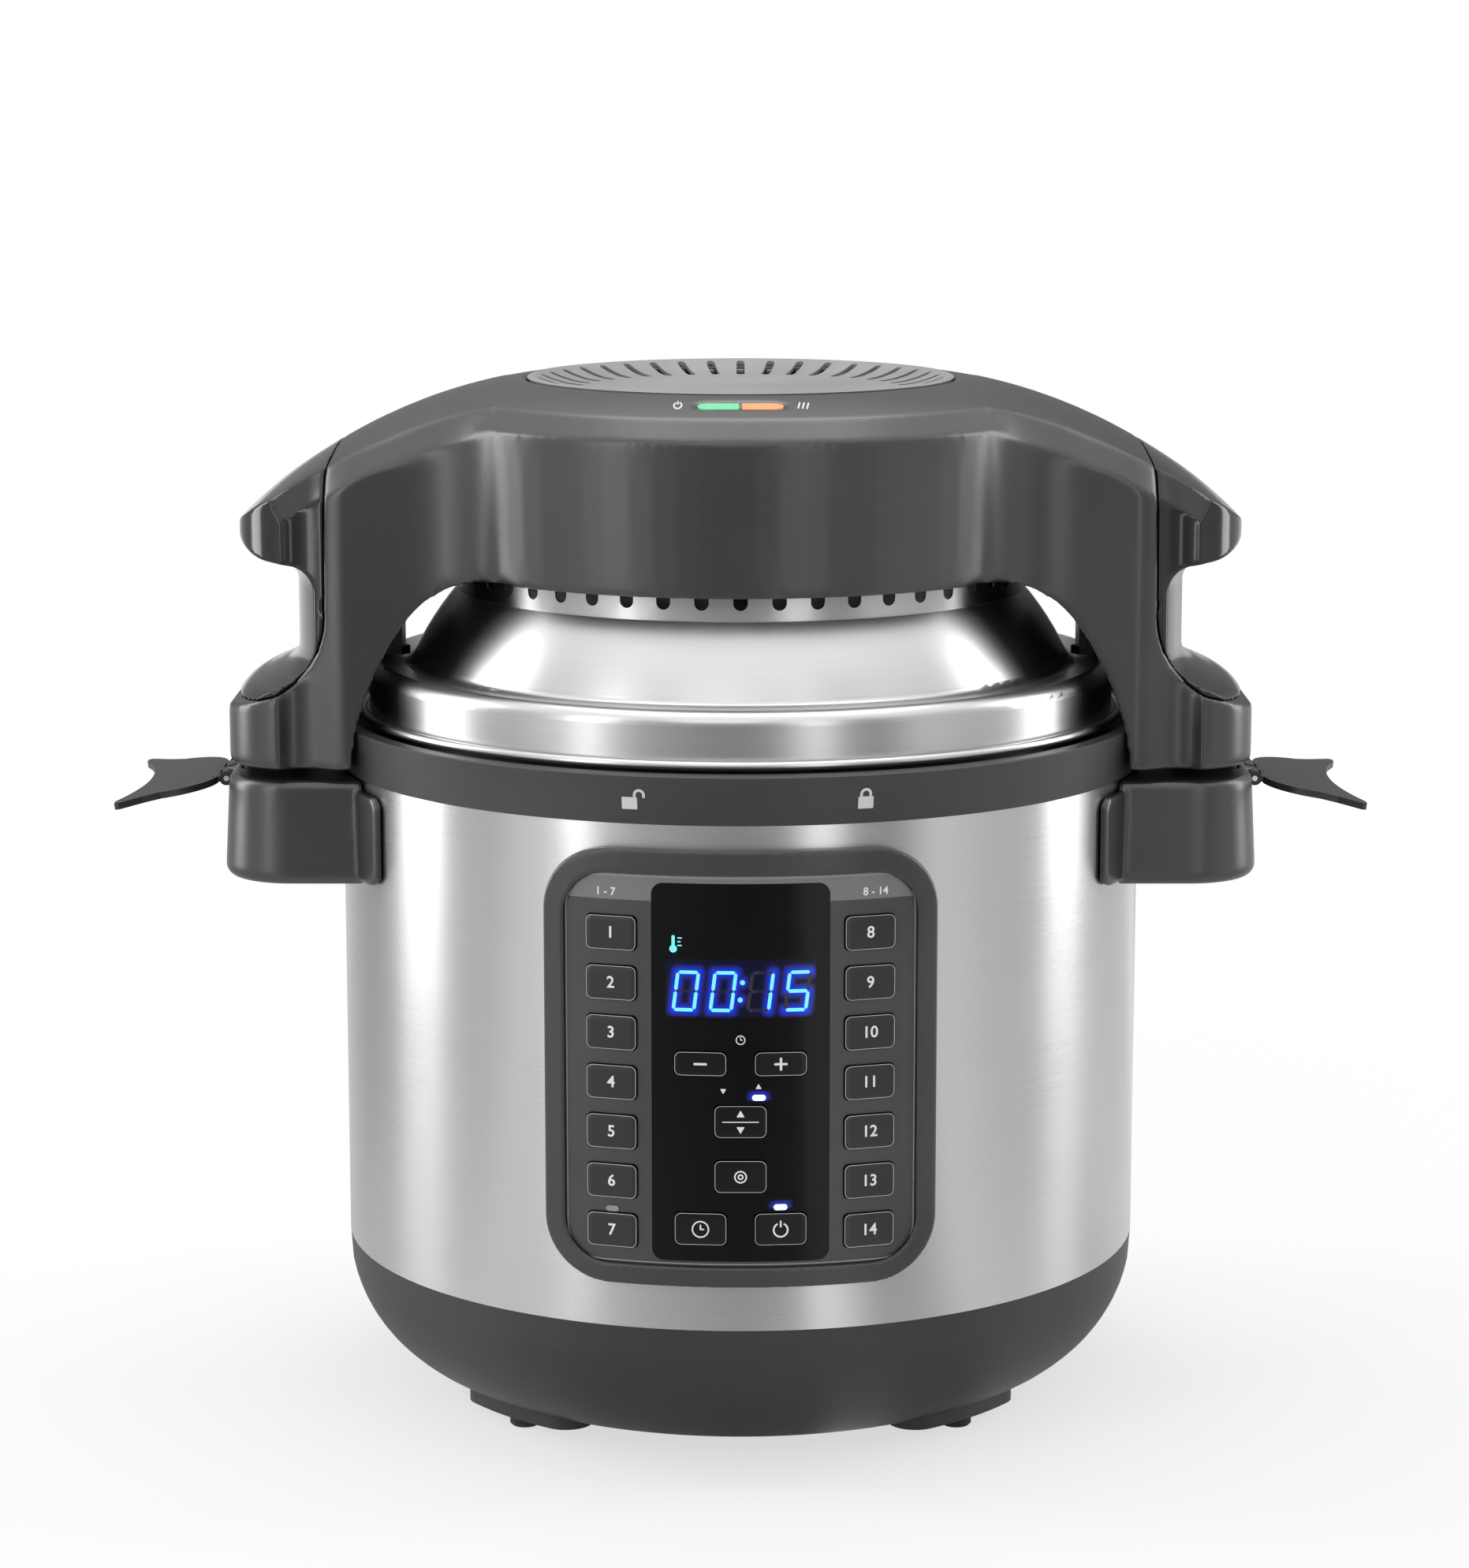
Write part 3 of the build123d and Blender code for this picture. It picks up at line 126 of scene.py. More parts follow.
# turned brushing: hair lines that run round the upright axis
def buildTurnedBrush():
    group, entry, leave = startGroup(
        "turnedBrush",
        [("Vector", "NodeSocketVector", None), ("Line Scale", "NodeSocketFloat", 2600.0),
         ("Line Length", "NodeSocketFloat", 5.0)],
        [("Lines", "NodeSocketFloat"), ("Cloud", "NodeSocketFloat")],
    )
    split = addNode(group, "ShaderNodeSeparateXYZ", {"Vector": entry["Vector"]}).outputs
    flat = addNode(group, "ShaderNodeCombineXYZ", {"X": split["X"], "Y": split["Y"]}).outputs[0]
    around = addNode(group, "ShaderNodeVectorMath", {0: flat}, operation="NORMALIZE").outputs["Vector"]
    radius = addNode(group, "ShaderNodeVectorMath", {0: flat}, operation="LENGTH").outputs["Value"]
    turn = addNode(group, "ShaderNodeSeparateXYZ", {"Vector": around}).outputs
    place = addNode(group, "ShaderNodeCombineXYZ", {
        "X": mathNode(group, "MULTIPLY", turn["X"], entry["Line Length"]),
        "Y": mathNode(group, "MULTIPLY", turn["Y"], entry["Line Length"]),
        "Z": mathNode(group, "MULTIPLY", split["Z"], entry["Line Scale"]),
    }).outputs[0]
    lines = addNode(group, "ShaderNodeTexNoise", {
        "Vector": place, "W": mathNode(group, "MULTIPLY", radius, entry["Line Scale"]),
        "Scale": 1.0, "Detail": 5.0, "Roughness": 0.7}, noise_dimensions="4D")
    cloud = addNode(group, "ShaderNodeTexNoise", {
        "Vector": entry["Vector"], "Scale": 14.0, "Detail": 3.0, "Roughness": 0.5})
    group.links.new(lines.outputs["Fac"], leave["Lines"])
    group.links.new(rangeNode(group, cloud.outputs["Fac"], 0.3, 0.7, 0.0, 1.0, True), leave["Cloud"])
    return group


mouldedSkin = buildMouldedSkin()
turnedBrush = buildTurnedBrush()


def startMaterial(name):
    material = bpy.data.materials.new(name)
    material.use_nodes = True
    tree = material.node_tree
    shader = tree.nodes["Principled BSDF"]
    place = addNode(tree, "ShaderNodeTexCoord").outputs["Object"]
    return material, tree, shader, place


def grey(level):
    return (level, level, level, 1.0)


def shaded(color, factor):
    return [channel * factor for channel in color[:3]] + [1]


def noiseNode(tree, place, scale):
    noise = addNode(tree, "ShaderNodeTexNoise", {"Vector": place, "Scale": scale, "Detail": 2.0})
    return noise.outputs["Fac"]


def skinNode(tree, values):
    return addNode(tree, "ShaderNodeGroup", values, node_tree=mouldedSkin).outputs


def mouldedPlastic(name, color, roughness, spread=0.06, grainScale=1800.0, grainDepth=0.12, coat=0.0,
                   patchScale=16.0, toneSpread=0.10, specular=0.5):
    material, tree, shader, place = startMaterial(name)
    skin = skinNode(tree, {"Vector": place, "Grain Scale": grainScale, "Patch Scale": patchScale})
    low, high = shaded(color, 1 - toneSpread), shaded(color, 1 + toneSpread)
    feed(tree, shader, {
        "Base Color": mixColor(tree, skin["Tone"], low, high),
        "Roughness": rangeNode(tree, skin["Gloss Patch"], 0.0, 1.0, roughness - spread, roughness + spread),
        "Normal": bumpNode(tree, grainDepth, 0.0002, skin["Grain"]),
        "Specular IOR Level": specular, "Coat Weight": coat, "Coat Roughness": 0.06,
    })
    return material


def brushedMetal(name, color, roughness, depth=0.06, lineScale=2600.0, lineLength=3.0, contrast=0.05,
                 cloudSpread=0.03, stretch=0.75):
    material, tree, shader, place = startMaterial(name)
    brush = addNode(tree, "ShaderNodeGroup", {
        "Vector": place, "Line Scale": lineScale, "Line Length": lineLength}, node_tree=turnedBrush).outputs
    low, high = shaded(color, 1 - contrast), shaded(color, 1 + contrast)
    fine = rangeNode(tree, brush["Lines"], 0.2, 0.8, roughness - 0.03, roughness + 0.03)
    feed(tree, shader, {
        "Base Color": mixColor(tree, brush["Lines"], low, high),
        "Roughness": mathNode(tree, "ADD", fine, rangeNode(tree, brush["Cloud"], 0.0, 1.0, 0.0, cloudSpread)),
        "Normal": bumpNode(tree, depth, 0.0001, brush["Lines"]),
        "Metallic": 1.0, "Anisotropic": stretch, "Anisotropic Rotation": 0.25,
        "Tangent": addNode(tree, "ShaderNodeTangent", direction_type="RADIAL", axis="Z").outputs[0],
    })
    return material


charcoal = mouldedPlastic("charcoalPlastic", grey(0.023), 0.32, spread=0.03, specular=0.8)
collarFinish = mouldedPlastic("collarPlastic", grey(0.034), 0.42, spread=0.03)
bowlFinish = mouldedPlastic("bowlPlastic", grey(0.036), 0.50, spread=0.03, specular=0.35)
glossBlack = mouldedPlastic(
    "glossBlack", grey(0.016), 0.15, spread=0.02, grainDepth=0.01, coat=0.05, specular=0.42)
discFinish = mouldedPlastic("discGrey", grey(0.27), 0.42)
darkPlastic = mouldedPlastic("darkPlastic", grey(0.018), 0.45)
pinDark = mouldedPlastic("pocketBlack", grey(0.010), 0.55)
bezelFinish = mouldedPlastic("bezelPlastic", grey(0.040), 0.32)
keyFinish = mouldedPlastic("keyPlastic", grey(0.020), 0.28, grainDepth=0.06)
glassKeyFinish = mouldedPlastic("glassKeyPlastic", grey(0.004), 0.24, grainDepth=0.04, specular=0.35)
rubberFinish = mouldedPlastic("footRubber", grey(0.02), 0.72, grainDepth=0.3)
siliconeFinish = mouldedPlastic("gasketSilicone", grey(0.06), 0.6)
boardFinish = mouldedPlastic("boardGreen", (0.02, 0.09, 0.04, 1), 0.45)
flapFinish = mouldedPlastic("flapPlastic", grey(0.020), 0.42, grainDepth=0.2)

shellSteel = brushedMetal("shellSteel", (0.56, 0.56, 0.565, 1), 0.27, depth=0.02)
lidSteel = brushedMetal("lidSteel", (0.53, 0.53, 0.535, 1), 0.30, depth=0.04, contrast=0.10, stretch=0.5)
ringSteel = brushedMetal("ringSteel", (0.50, 0.50, 0.505, 1), 0.34)
potSteel = brushedMetal("potSteel", (0.62, 0.62, 0.62, 1), 0.26)
castAluminium = brushedMetal("castAluminium", (0.6, 0.6, 0.61, 1), 0.38, depth=0.1, contrast=0.06)
coilSteel = brushedMetal("coilSteel", (0.22, 0.20, 0.18, 1), 0.42, depth=0.1, contrast=0.25)
motorSteel = brushedMetal("motorSteel", (0.4, 0.4, 0.41, 1), 0.35)
pinChrome = brushedMetal("pinSteel", (0.7, 0.7, 0.7, 1), 0.15, depth=0.05)
print("plastics and metals made")


# panel film: dark field with a paler header band printed across its top
panelPrint = {"bandLow": 0.2062, "bandSoft": 0.0002, "field": 0.052, "band": 0.17, "roughness": (0.36, 0.44)}


def panelFilm():
    material, tree, shader, place = startMaterial("panelFilm")
    skin = skinNode(tree, {"Vector": place})
    height = addNode(tree, "ShaderNodeSeparateXYZ", {"Vector": place}).outputs["Z"]
    bandLow, shade = panelPrint["bandLow"], panelPrint["field"]
    band = rangeNode(tree, height, bandLow, bandLow + panelPrint["bandSoft"], 0.0, 1.0)
    field = mixColor(tree, skin["Tone"], grey(shade * 0.9), grey(shade * 1.1))
    feed(tree, shader, {
        "Base Color": mixColor(tree, band, field, grey(panelPrint["band"])),
        "Roughness": rangeNode(tree, skin["Gloss Patch"], 0.0, 1.0, *panelPrint["roughness"]),
        "Normal": bumpNode(tree, 0.08, 0.0002, skin["Grain"]),
    })
    return material


# window: near black and smooth, with a trace of wiping marks in its gloss
windowLook = {"patchScale": 30.0, "low": 0.0016, "high": 0.0026, "roughness": (0.08, 0.14), "specular": 0.22}


def windowGlass():
    material, tree, shader, place = startMaterial("windowGlass")
    skin = skinNode(tree, {"Vector": place, "Patch Scale": windowLook["patchScale"]})
    feed(tree, shader, {
        "Base Color": mixColor(tree, skin["Tone"], grey(windowLook["low"]), grey(windowLook["high"])),
        "Roughness": rangeNode(tree, skin["Gloss Patch"], 0.0, 1.0, *windowLook["roughness"]),
        "Specular IOR Level": windowLook["specular"],
    })
    return material


# signal lenses: green on the left, amber on the right, with fine prisms that glow unevenly
lensLook = {"green": (0.10, 0.62, 0.30, 1), "amber": (0.85, 0.30, 0.07, 1), "glow": 0.45, "prismScale": 900.0}


def lensPlastic():
    material, tree, shader, place = startMaterial("signalLens")
    side = addNode(tree, "ShaderNodeSeparateXYZ", {"Vector": place}).outputs["X"]
    amber = rangeNode(tree, side, -0.0002, 0.0002, 0.0, 1.0)
    tint = mixColor(tree, amber, lensLook["green"], lensLook["amber"])
    prism = addNode(tree, "ShaderNodeTexVoronoi", {
        "Vector": place, "Scale": lensLook["prismScale"]}).outputs["Distance"]
    light = rangeNode(tree, prism, 0.0, 0.7, 1.25, 0.55)
    glow = addNode(tree, "ShaderNodeVectorMath", {0: tint, 1: light}, operation="MULTIPLY").outputs["Vector"]
    feed(tree, shader, {
        "Base Color": tint, "Emission Color": glow, "Emission Strength": lensLook["glow"],
        "Roughness": rangeNode(tree, prism, 0.0, 0.7, 0.12, 0.3),
        "Normal": bumpNode(tree, 0.4, 0.0003, prism), "Coat Weight": 0.6,
    })
    return material


# light pipes: two lit blue white, the one on the left dark and frosted
def pipePlastic():
    material, tree, shader, place = startMaterial("lightPipe")
    side = addNode(tree, "ShaderNodeSeparateXYZ", {"Vector": place}).outputs["X"]
    lit = rangeNode(tree, side, -0.021, -0.020, 0.0, 1.0)
    frost = noiseNode(tree, place, 1500.0)
    body = mixColor(tree, frost, grey(0.22), grey(0.30))
    feed(tree, shader, {
        "Base Color": mixColor(tree, lit, body, (0.5, 0.6, 0.9, 1)),
        "Emission Color": mixColor(tree, lit, grey(0.0), (0.55, 0.75, 1.0, 1)), "Emission Strength": 1.4,
        "Roughness": rangeNode(tree, frost, 0.0, 1.0, 0.3, 0.45),
    })
    return material


panelFinish = panelFilm()
windowFinish = windowGlass()
lensFinish = lensPlastic()
pipeFinish = pipePlastic()

nodeFinishes = {
    charcoal: ["handle_right", "handle_left", "lid_housing"],
    collarFinish: ["collar_ring"],
    bowlFinish: ["base_bowl"],
    glossBlack: ["grip_right", "grip_left"],
    discFinish: ["vent_disc"],
    darkPlastic: ["lid_brackets", "lid_plugs", "cooling_fan", "sensor_guide", "power_inlet"],
    pinDark: ["lid_sockets"],
    bezelFinish: ["panel_bezel"],
    flapFinish: ["flap_right", "flap_left"],
    rubberFinish: ["rubber_feet"],
    siliconeFinish: ["lid_gasket"],
    boardFinish: ["digit_module", "control_board", "power_board"],
    shellSteel: ["outer_shell"],
    lidSteel: ["lid_skirt"],
    ringSteel: ["vent_ring", "guard_grille"],
    potSteel: ["inner_pot"],
    castAluminium: ["pot_well", "heating_plate", "heat_shield", "convection_fan", "thermal_sensor"],
    coilSteel: ["heating_coil"],
    motorSteel: ["fan_motor"],
    pinChrome: ["hinge_pins"],
    panelFinish: ["panel_face"],
    windowFinish: ["display_glass"],
    lensFinish: ["signal_lenses"],
    pipeFinish: ["status_lights"],
    keyFinish: [name for name in nodes if name.startswith(("key_left", "key_right"))],
    glassKeyFinish: ["key_minus", "key_plus", "key_centre_1", "key_centre_2", "key_delay", "key_start"],
}
for material, names in nodeFinishes.items():
    for name in names:
        for materialSlot in nodes[name].material_slots:
            materialSlot.material = material
print("finishes on the frame's nodes")


# modelling helpers
def clearSelection():
    if bpy.context.object and bpy.context.object.mode != "OBJECT":
        bpy.ops.object.mode_set(mode="OBJECT")
    bpy.ops.object.select_all(action="DESELECT")


def editMode():
    bpy.ops.object.mode_set(mode="EDIT")


def objectMode():
    bpy.ops.object.mode_set(mode="OBJECT")


def selectAll():
    bpy.ops.mesh.select_all(action="SELECT")


def raiseFaces(height):
    selectAll()
    bpy.ops.mesh.extrude_region_move(TRANSFORM_OT_translate={"value": (0, 0, height)})


def openFace(width):
    bpy.ops.mesh.inset(thickness=width, depth=0)
    bpy.ops.mesh.delete(type="FACE")


def makeActive(piece):
    clearSelection()
    piece.select_set(True)
    bpy.context.view_layer.objects.active = piece


def applyModifier(piece, kind, **settings):
    modifier = piece.modifiers.new(kind.lower(), kind)
    for name, value in settings.items():
        setattr(modifier, name, value)
    bpy.ops.object.modifier_apply(modifier=modifier.name)


def placed(piece, x, y, z, turn=0.0):
    piece.data.transform(Matrix.Translation((x, y, z)) @ Matrix.Rotation(turn, 4, "Z"))
    return piece


def keepActive(name, material):
    piece = bpy.context.object
    objectMode()
    piece.name = name
    piece.data.name = name
    piece.data.transform(piece.matrix_world)
    piece.matrix_world = Matrix.Identity(4)
    piece.data.materials.clear()
    piece.data.materials.append(material)
    return piece


def addRoundedTile(width, height, corner, steps=5):
    clearSelection()
    bpy.ops.mesh.primitive_plane_add(size=1)
    bpy.context.object.scale = (width, height, 1)
    bpy.ops.object.transform_apply(location=False, rotation=False, scale=True)
    editMode()
    selectAll()
    bpy.ops.mesh.bevel(offset=corner, segments=steps, affect="VERTICES")
    selectAll()


def addCircle(corners, radius):
    clearSelection()
    bpy.ops.mesh.primitive_circle_add(vertices=corners, radius=radius, fill_type="NGON")
    editMode()
    selectAll()


def joinPieces(pieces, name):
    clearSelection()
    for piece in pieces:
        piece.select_set(True)
    bpy.context.view_layer.objects.active = pieces[0]
    if len(pieces) > 1:
        bpy.ops.object.join()
    pieces[0].name = name
    pieces[0].data.name = name
    return pieces[0]


# softened bodies: a welded copy of the node, remeshed and eased so that its edges turn round
gripSoft = {
    "cell": 0.0006, "ease": 12, "keep": 0.5, "finish": glossBlack, "slot": "gloss_black", "body": "lid",
}
handleSoft = {
    "cell": 0.0009, "ease": 8, "keep": 0.5, "finish": charcoal, "slot": "charcoal_plastic", "body": "base",
}
softBodies = {
    "lid_housing": {
        "cell": 0.0010, "ease": 10, "keep": 0.32,
        "finish": charcoal, "slot": "charcoal_plastic", "body": "lid",
        "root": {
            "sides": (0.078, 0.122), "front": 0.040, "heights": (0.300, 0.352), "fade": 0.010, "ease": 90,
        },
    },
    "grip_right": gripSoft,
    "grip_left": gripSoft,
    "handle_right": handleSoft,
    "handle_left": handleSoft,
    "panel_bezel": {
        "cell": 0.0006, "ease": 12, "keep": 0.6,
        "finish": bezelFinish, "slot": "charcoal_plastic", "body": "base",
    },
}


def easeRoots(piece, look):
    group = piece.vertex_groups.new(name="roots")
    for vertex in piece.data.vertices:
        side, depth, height = abs(vertex.co.x), abs(vertex.co.y), vertex.co.z
        inside = min(side - look["sides"][0], look["sides"][1] - side, depth - look["front"],
                     height - look["heights"][0], look["heights"][1] - height)
        if inside > 0:
            group.add([vertex.index], min(1.0, inside / look["fade"]), "REPLACE")
    applyModifier(piece, "SMOOTH", factor=0.5, iterations=look["ease"], vertex_group="roots")
    piece.vertex_groups.clear()


def softenNode(node, look):
    piece = bpy.data.objects.new("soft_" + node, nodes[node].data.copy())
    bpy.context.scene.collection.objects.link(piece)
    makeActive(piece)
    editMode()
    selectAll()
    bpy.ops.mesh.remove_doubles(threshold=0.00001)
    objectMode()
    applyModifier(piece, "REMESH", mode="VOXEL", voxel_size=look["cell"])
    applyModifier(piece, "SMOOTH", factor=0.5, iterations=look["ease"])
    if "root" in look:
        easeRoots(piece, look["root"])
    applyModifier(piece, "DECIMATE", ratio=look["keep"])
    bpy.ops.object.shade_smooth()
    keepActive("soft_" + node, look["finish"])
    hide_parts(node)
    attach(piece, look["body"])
    print("softened", node, "to", len(piece.data.polygons), "faces")


for node, look in softBodies.items():
    softenNode(node, look)


# vent disc: dished cap whose sloping ring carries radial slots
discLook = {
    "slots": 40, "slotLength": 0.0160, "slotWidth": 0.0031, "slotPlace": 0.0660, "wall": 0.0014,
    "around": 160, "rimDrop": 0.0044, "cutHeight": 0.012, "cutDrop": 0.009,
    "profile": (
        (0.0768, 0.0004), (0.0756, 0.0004), (0.0748, 0.0001), (0.0735, -0.0005), (0.0715, -0.0013),
        (0.0690, -0.0022), (0.0665, -0.0029), (0.0640, -0.0035), (0.0610, -0.0039), (0.0580, -0.0041)),
}


def addDisc():
    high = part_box("vent_disc")[1]
    edge = high.x
    rim = high.z - discLook["rimDrop"]
    addCircle(discLook["around"], edge)
    level = 0.0
    for reach, height in discLook["profile"]:
        bpy.ops.mesh.inset(thickness=edge - reach, depth=0)
        bpy.ops.transform.translate(value=(0, 0, height - level))
        edge, level = reach, height
    objectMode()
    dish = bpy.context.object
    applyModifier(dish, "SOLIDIFY", thickness=discLook["wall"], offset=-1)
    placed(dish, 0, 0, rim)
    cutters = []
    for slot in range(discLook["slots"]):
        addRoundedTile(discLook["slotLength"], discLook["slotWidth"], discLook["slotWidth"] * 0.45, 4)
        raiseFaces(discLook["cutHeight"])
        cutter = keepActive("cutter", discFinish)
        turn = Matrix.Rotation(math.radians(90 + 360 * slot / discLook["slots"]), 4, "Z")
        place = Matrix.Translation((discLook["slotPlace"], 0, rim - discLook["cutDrop"]))
        cutter.data.transform(turn @ place)
        cutters.append(cutter)
    comb = joinPieces(cutters, "discComb")
    makeActive(dish)
    applyModifier(dish, "BOOLEAN", object=comb, solver="EXACT")
    bpy.data.objects.remove(comb, do_unlink=True)
    bpy.ops.object.shade_smooth_by_angle(angle=math.radians(35))
    keepActive("ventDish", discFinish)
    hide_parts("vent_disc")
    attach(dish, "lid")
    return dish


ventDish = addDisc()
print("dished disc made with", len(ventDish.data.polygons), "faces")


# printed light grey and pale grey
def printInk(name, level, glow=0.0):
    material, tree, shader, place = startMaterial(name)
    wear = noiseNode(tree, place, 900.0)
    feed(tree, shader, {
        "Base Color": mixColor(tree, wear, grey(level * 0.88), grey(level * 1.1)),
        "Roughness": rangeNode(tree, wear, 0.0, 1.0, 0.35, 0.5),
        "Emission Color": grey(1.0), "Emission Strength": glow,
    })
    return material


# the light grey ink also gets a faint white glow of its own: painted light on plain print
inkFinish = printInk("printedGreyFaintGlow", 0.72, 0.05)
iconFinish = printInk("printedPale", 0.60)

# keys: domed tile, printed outline and a plain mark on each
keyLook = {
    "lip": 0.0008, "corner": 0.0020, "rise": 0.00022, "outline": 0.00055, "thickness": 0.00004,
    "outlineInset": 0.0001, "outlineThickness": 0.00006, "numberSize": 0.0056, "bold": 0.016,
    "domeGap": 0.0002, "domeBase": 0.00003, "domeSteps": ((0.0004, 0.5), (0.0005, 0.3), (0.0007, 0.2)),
    "markGap": 0.00005,
}


def keyPlace(key):
    outward = Vector(joints[key]["axis"]).normalized()
    along = Vector((0, 0, 1)).cross(outward).normalized()
    points = [vertex.co for vertex in nodes[key].data.vertices]
    face = max(point.dot(outward) for point in points)
    sides = [point.dot(along) for point in points]
    heights = [point.z for point in points]
    width = max(sides) - min(sides) - 2 * keyLook["lip"]
    height = max(heights) - min(heights) - 2 * keyLook["lip"]
    centre = outward * face + along * (max(sides) + min(sides)) / 2
    centre.z = (max(heights) + min(heights)) / 2
    turn = Matrix((along, Vector((0, 0, 1)), outward)).transposed().to_4x4()
    return Matrix.Translation(centre) @ turn, width, height


def addKeyDome(width, height, material):
    addRoundedTile(width - keyLook["domeGap"], height - keyLook["domeGap"], keyLook["corner"])
    raiseFaces(keyLook["domeBase"])
    for step, share in keyLook["domeSteps"]:
        bpy.ops.mesh.inset(thickness=step, depth=0)
        bpy.ops.transform.translate(value=(0, 0, keyLook["rise"] * share))
    return keepActive("keyDome", material)


def addKeyOutline(width, height):
    inset = 2 * keyLook["outlineInset"]
    addRoundedTile(width - inset, height - inset, keyLook["corner"])
    openFace(keyLook["outline"])
    raiseFaces(keyLook["outlineThickness"])
    return keepActive("keyOutline", inkFinish)


def addNumber(text, size, lift, material):
    clearSelection()
    bpy.ops.object.text_add()
    label = bpy.context.object
    label.data.body = text
    label.data.size = size
    label.data.align_x = "CENTER"
    label.data.align_y = "CENTER"
    label.data.extrude = keyLook["thickness"] / 2
    label.data.offset = size * keyLook["bold"]
    label.data.resolution_u = 4
    bpy.ops.object.convert(target="MESH")
    placed(bpy.context.object, 0, 0, lift)
    return keepActive("number", material)


def addBar(width, height, lift, turn=0.0, place=(0, 0)):
    addRoundedTile(width, height, min(width, height) * 0.45, 3)
    raiseFaces(keyLook["thickness"])
    return placed(keepActive("bar", inkFinish), *place, lift, turn)


def addRing(outer, inner, lift, place=(0, 0), openFrom=None):
    addCircle(28, outer)
    openFace(outer - inner)
    if openFrom is not None:
        bpy.ops.mesh.select_all(action="DESELECT")
        objectMode()
        mesh = bpy.context.object.data
        for polygon in mesh.polygons:
            angle = math.atan2(polygon.center.y, polygon.center.x)
            polygon.select = abs(angle - math.pi / 2) < openFrom
        editMode()
        bpy.ops.mesh.delete(type="FACE")
    raiseFaces(keyLook["thickness"])
    return placed(keepActive("ring", inkFinish), *place, lift)


def addWedge(radius, lift, turn=0.0, place=(0, 0)):
    addCircle(3, radius)
    bpy.ops.mesh.bevel(offset=radius * 0.15, segments=2, affect="VERTICES")
    raiseFaces(keyLook["thickness"])
    return placed(keepActive("wedge", inkFinish), *place, lift, turn)


# marks on the keys: minus and plus, up and down, target, clock and power
markLook = {
    "signLength": 0.0046, "signStroke": 0.0008, "lineLength": 0.0125, "lineStroke": 0.00035, "wedge": 0.0016,
    "wedgeRise": 0.0025, "targetRings": ((0.0022, 0.0017), (0.0010, 0.0005)), "clockRing": (0.0030, 0.0025),
    "longHand": (0.0019, 0.0005), "longPlace": (0, 0.00075),
    "shortHand": (0.0015, 0.0005), "shortPlace": (0.00055, 0),
    "powerRing": (0.0027, 0.0021), "powerPlace": (0, -0.0002), "powerGap": 0.55,
    "powerBar": (0.0024, 0.0006), "powerBarPlace": (0, 0.0019), "over": 0.00001,
}
markLift = keyLook["rise"] + keyLook["markGap"]
crossLift = markLift + markLook["over"]
upright = math.pi / 2


def keyMark(key):
    if key.startswith("key_left"):
        return [addNumber(key[-1], keyLook["numberSize"], markLift, inkFinish)]
    if key.startswith("key_right"):
        return [addNumber(str(int(key[-1]) + 7), keyLook["numberSize"], markLift, inkFinish)]
    if key == "key_minus":
        return [addBar(markLook["signLength"], markLook["signStroke"], markLift)]
    if key == "key_plus":
        return [addBar(markLook["signLength"], markLook["signStroke"], markLift),
                addBar(markLook["signLength"], markLook["signStroke"], crossLift, upright)]
    if key == "key_centre_1":
        return [addBar(markLook["lineLength"], markLook["lineStroke"], markLift),
                addWedge(markLook["wedge"], markLift, 0, (0, markLook["wedgeRise"])),
                addWedge(markLook["wedge"], markLift, math.pi, (0, -markLook["wedgeRise"]))]
    if key == "key_centre_2":
        return [addRing(outer, inner, markLift) for outer, inner in markLook["targetRings"]]
    if key == "key_delay":
        return [addRing(*markLook["clockRing"], markLift),
                addBar(*markLook["longHand"], markLift, upright, markLook["longPlace"]),
                addBar(*markLook["shortHand"], crossLift, 0, markLook["shortPlace"])]
    return [addRing(*markLook["powerRing"], markLift, markLook["powerPlace"], markLook["powerGap"]),
            addBar(*markLook["powerBar"], markLift, upright, markLook["powerBarPlace"])]


for key in sorted(name for name in nodes if name.startswith("key_")):
    place, width, height = keyPlace(key)
    domeFinish = keyFinish if key.startswith(("key_left", "key_right")) else glassKeyFinish
    keyDome = addKeyDome(width, height, domeFinish)
    keyDome.name = key.replace("key_", "dome_")
    marks = [addKeyOutline(width, height)] + keyMark(key)
    keyPrint = joinPieces(marks, key.replace("key_", "print_"))
    for piece, slotName in ((keyDome, "key_plastic"), (keyPrint, "key_plastic")):
        piece.data.transform(place)
        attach(piece, key)
print("keys dressed")

# display: slanted segments, their glow behind the window and small signs
panelRadius = -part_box("display_glass")[0].y
displayLook = {
    "left": -0.0235, "bottom": 0.1687, "pitch": 0.01262, "width": 0.0082, "height": 0.01415,
    "stroke": 0.00118, "slant": 0.128, "gap": 0.00022, "lift": 0.00006, "thickness": 0.00002,
    "dotRadius": 0.00085, "dotSide": -0.0024, "dotHeights": (0.0042, 0.0102),
    "core": (0.20, 0.95, 1.0, 1), "rim": (0.0, 0.03, 1.0, 1),
}
digitSegments = {"0": "abcdef", "1": "bc", "5": "afgcd"}
shownDigits = "0015"


def wrapOnPanel(piece, radius):
    for vertex in piece.data.vertices:
        angle = vertex.co.x / radius
        reach = radius + vertex.co.z
        vertex.co = (reach * math.sin(angle), -reach * math.cos(angle), vertex.co.y)
    return piece


def segmentEnds():
    wide = displayLook["width"] - displayLook["stroke"]
    tall = displayLook["height"] - displayLook["stroke"]
    half = displayLook["stroke"] / 2
    left, right, low, middle, high = half, half + wide, half, half + tall / 2, half + tall
    return {
        "a": ((left, high), (right, high)),
        "b": ((right, middle), (right, high)),
        "c": ((right, low), (right, middle)),
        "d": ((left, low), (right, low)),
        "e": ((left, low), (left, middle)),
        "f": ((left, middle), (left, high)),
        "g": ((left, middle), (right, middle)),
    }


def slanted(point, digit):
    return (displayLook["left"] + digit * displayLook["pitch"] + point[0] + point[1] * displayLook["slant"],
            displayLook["bottom"] + point[1])


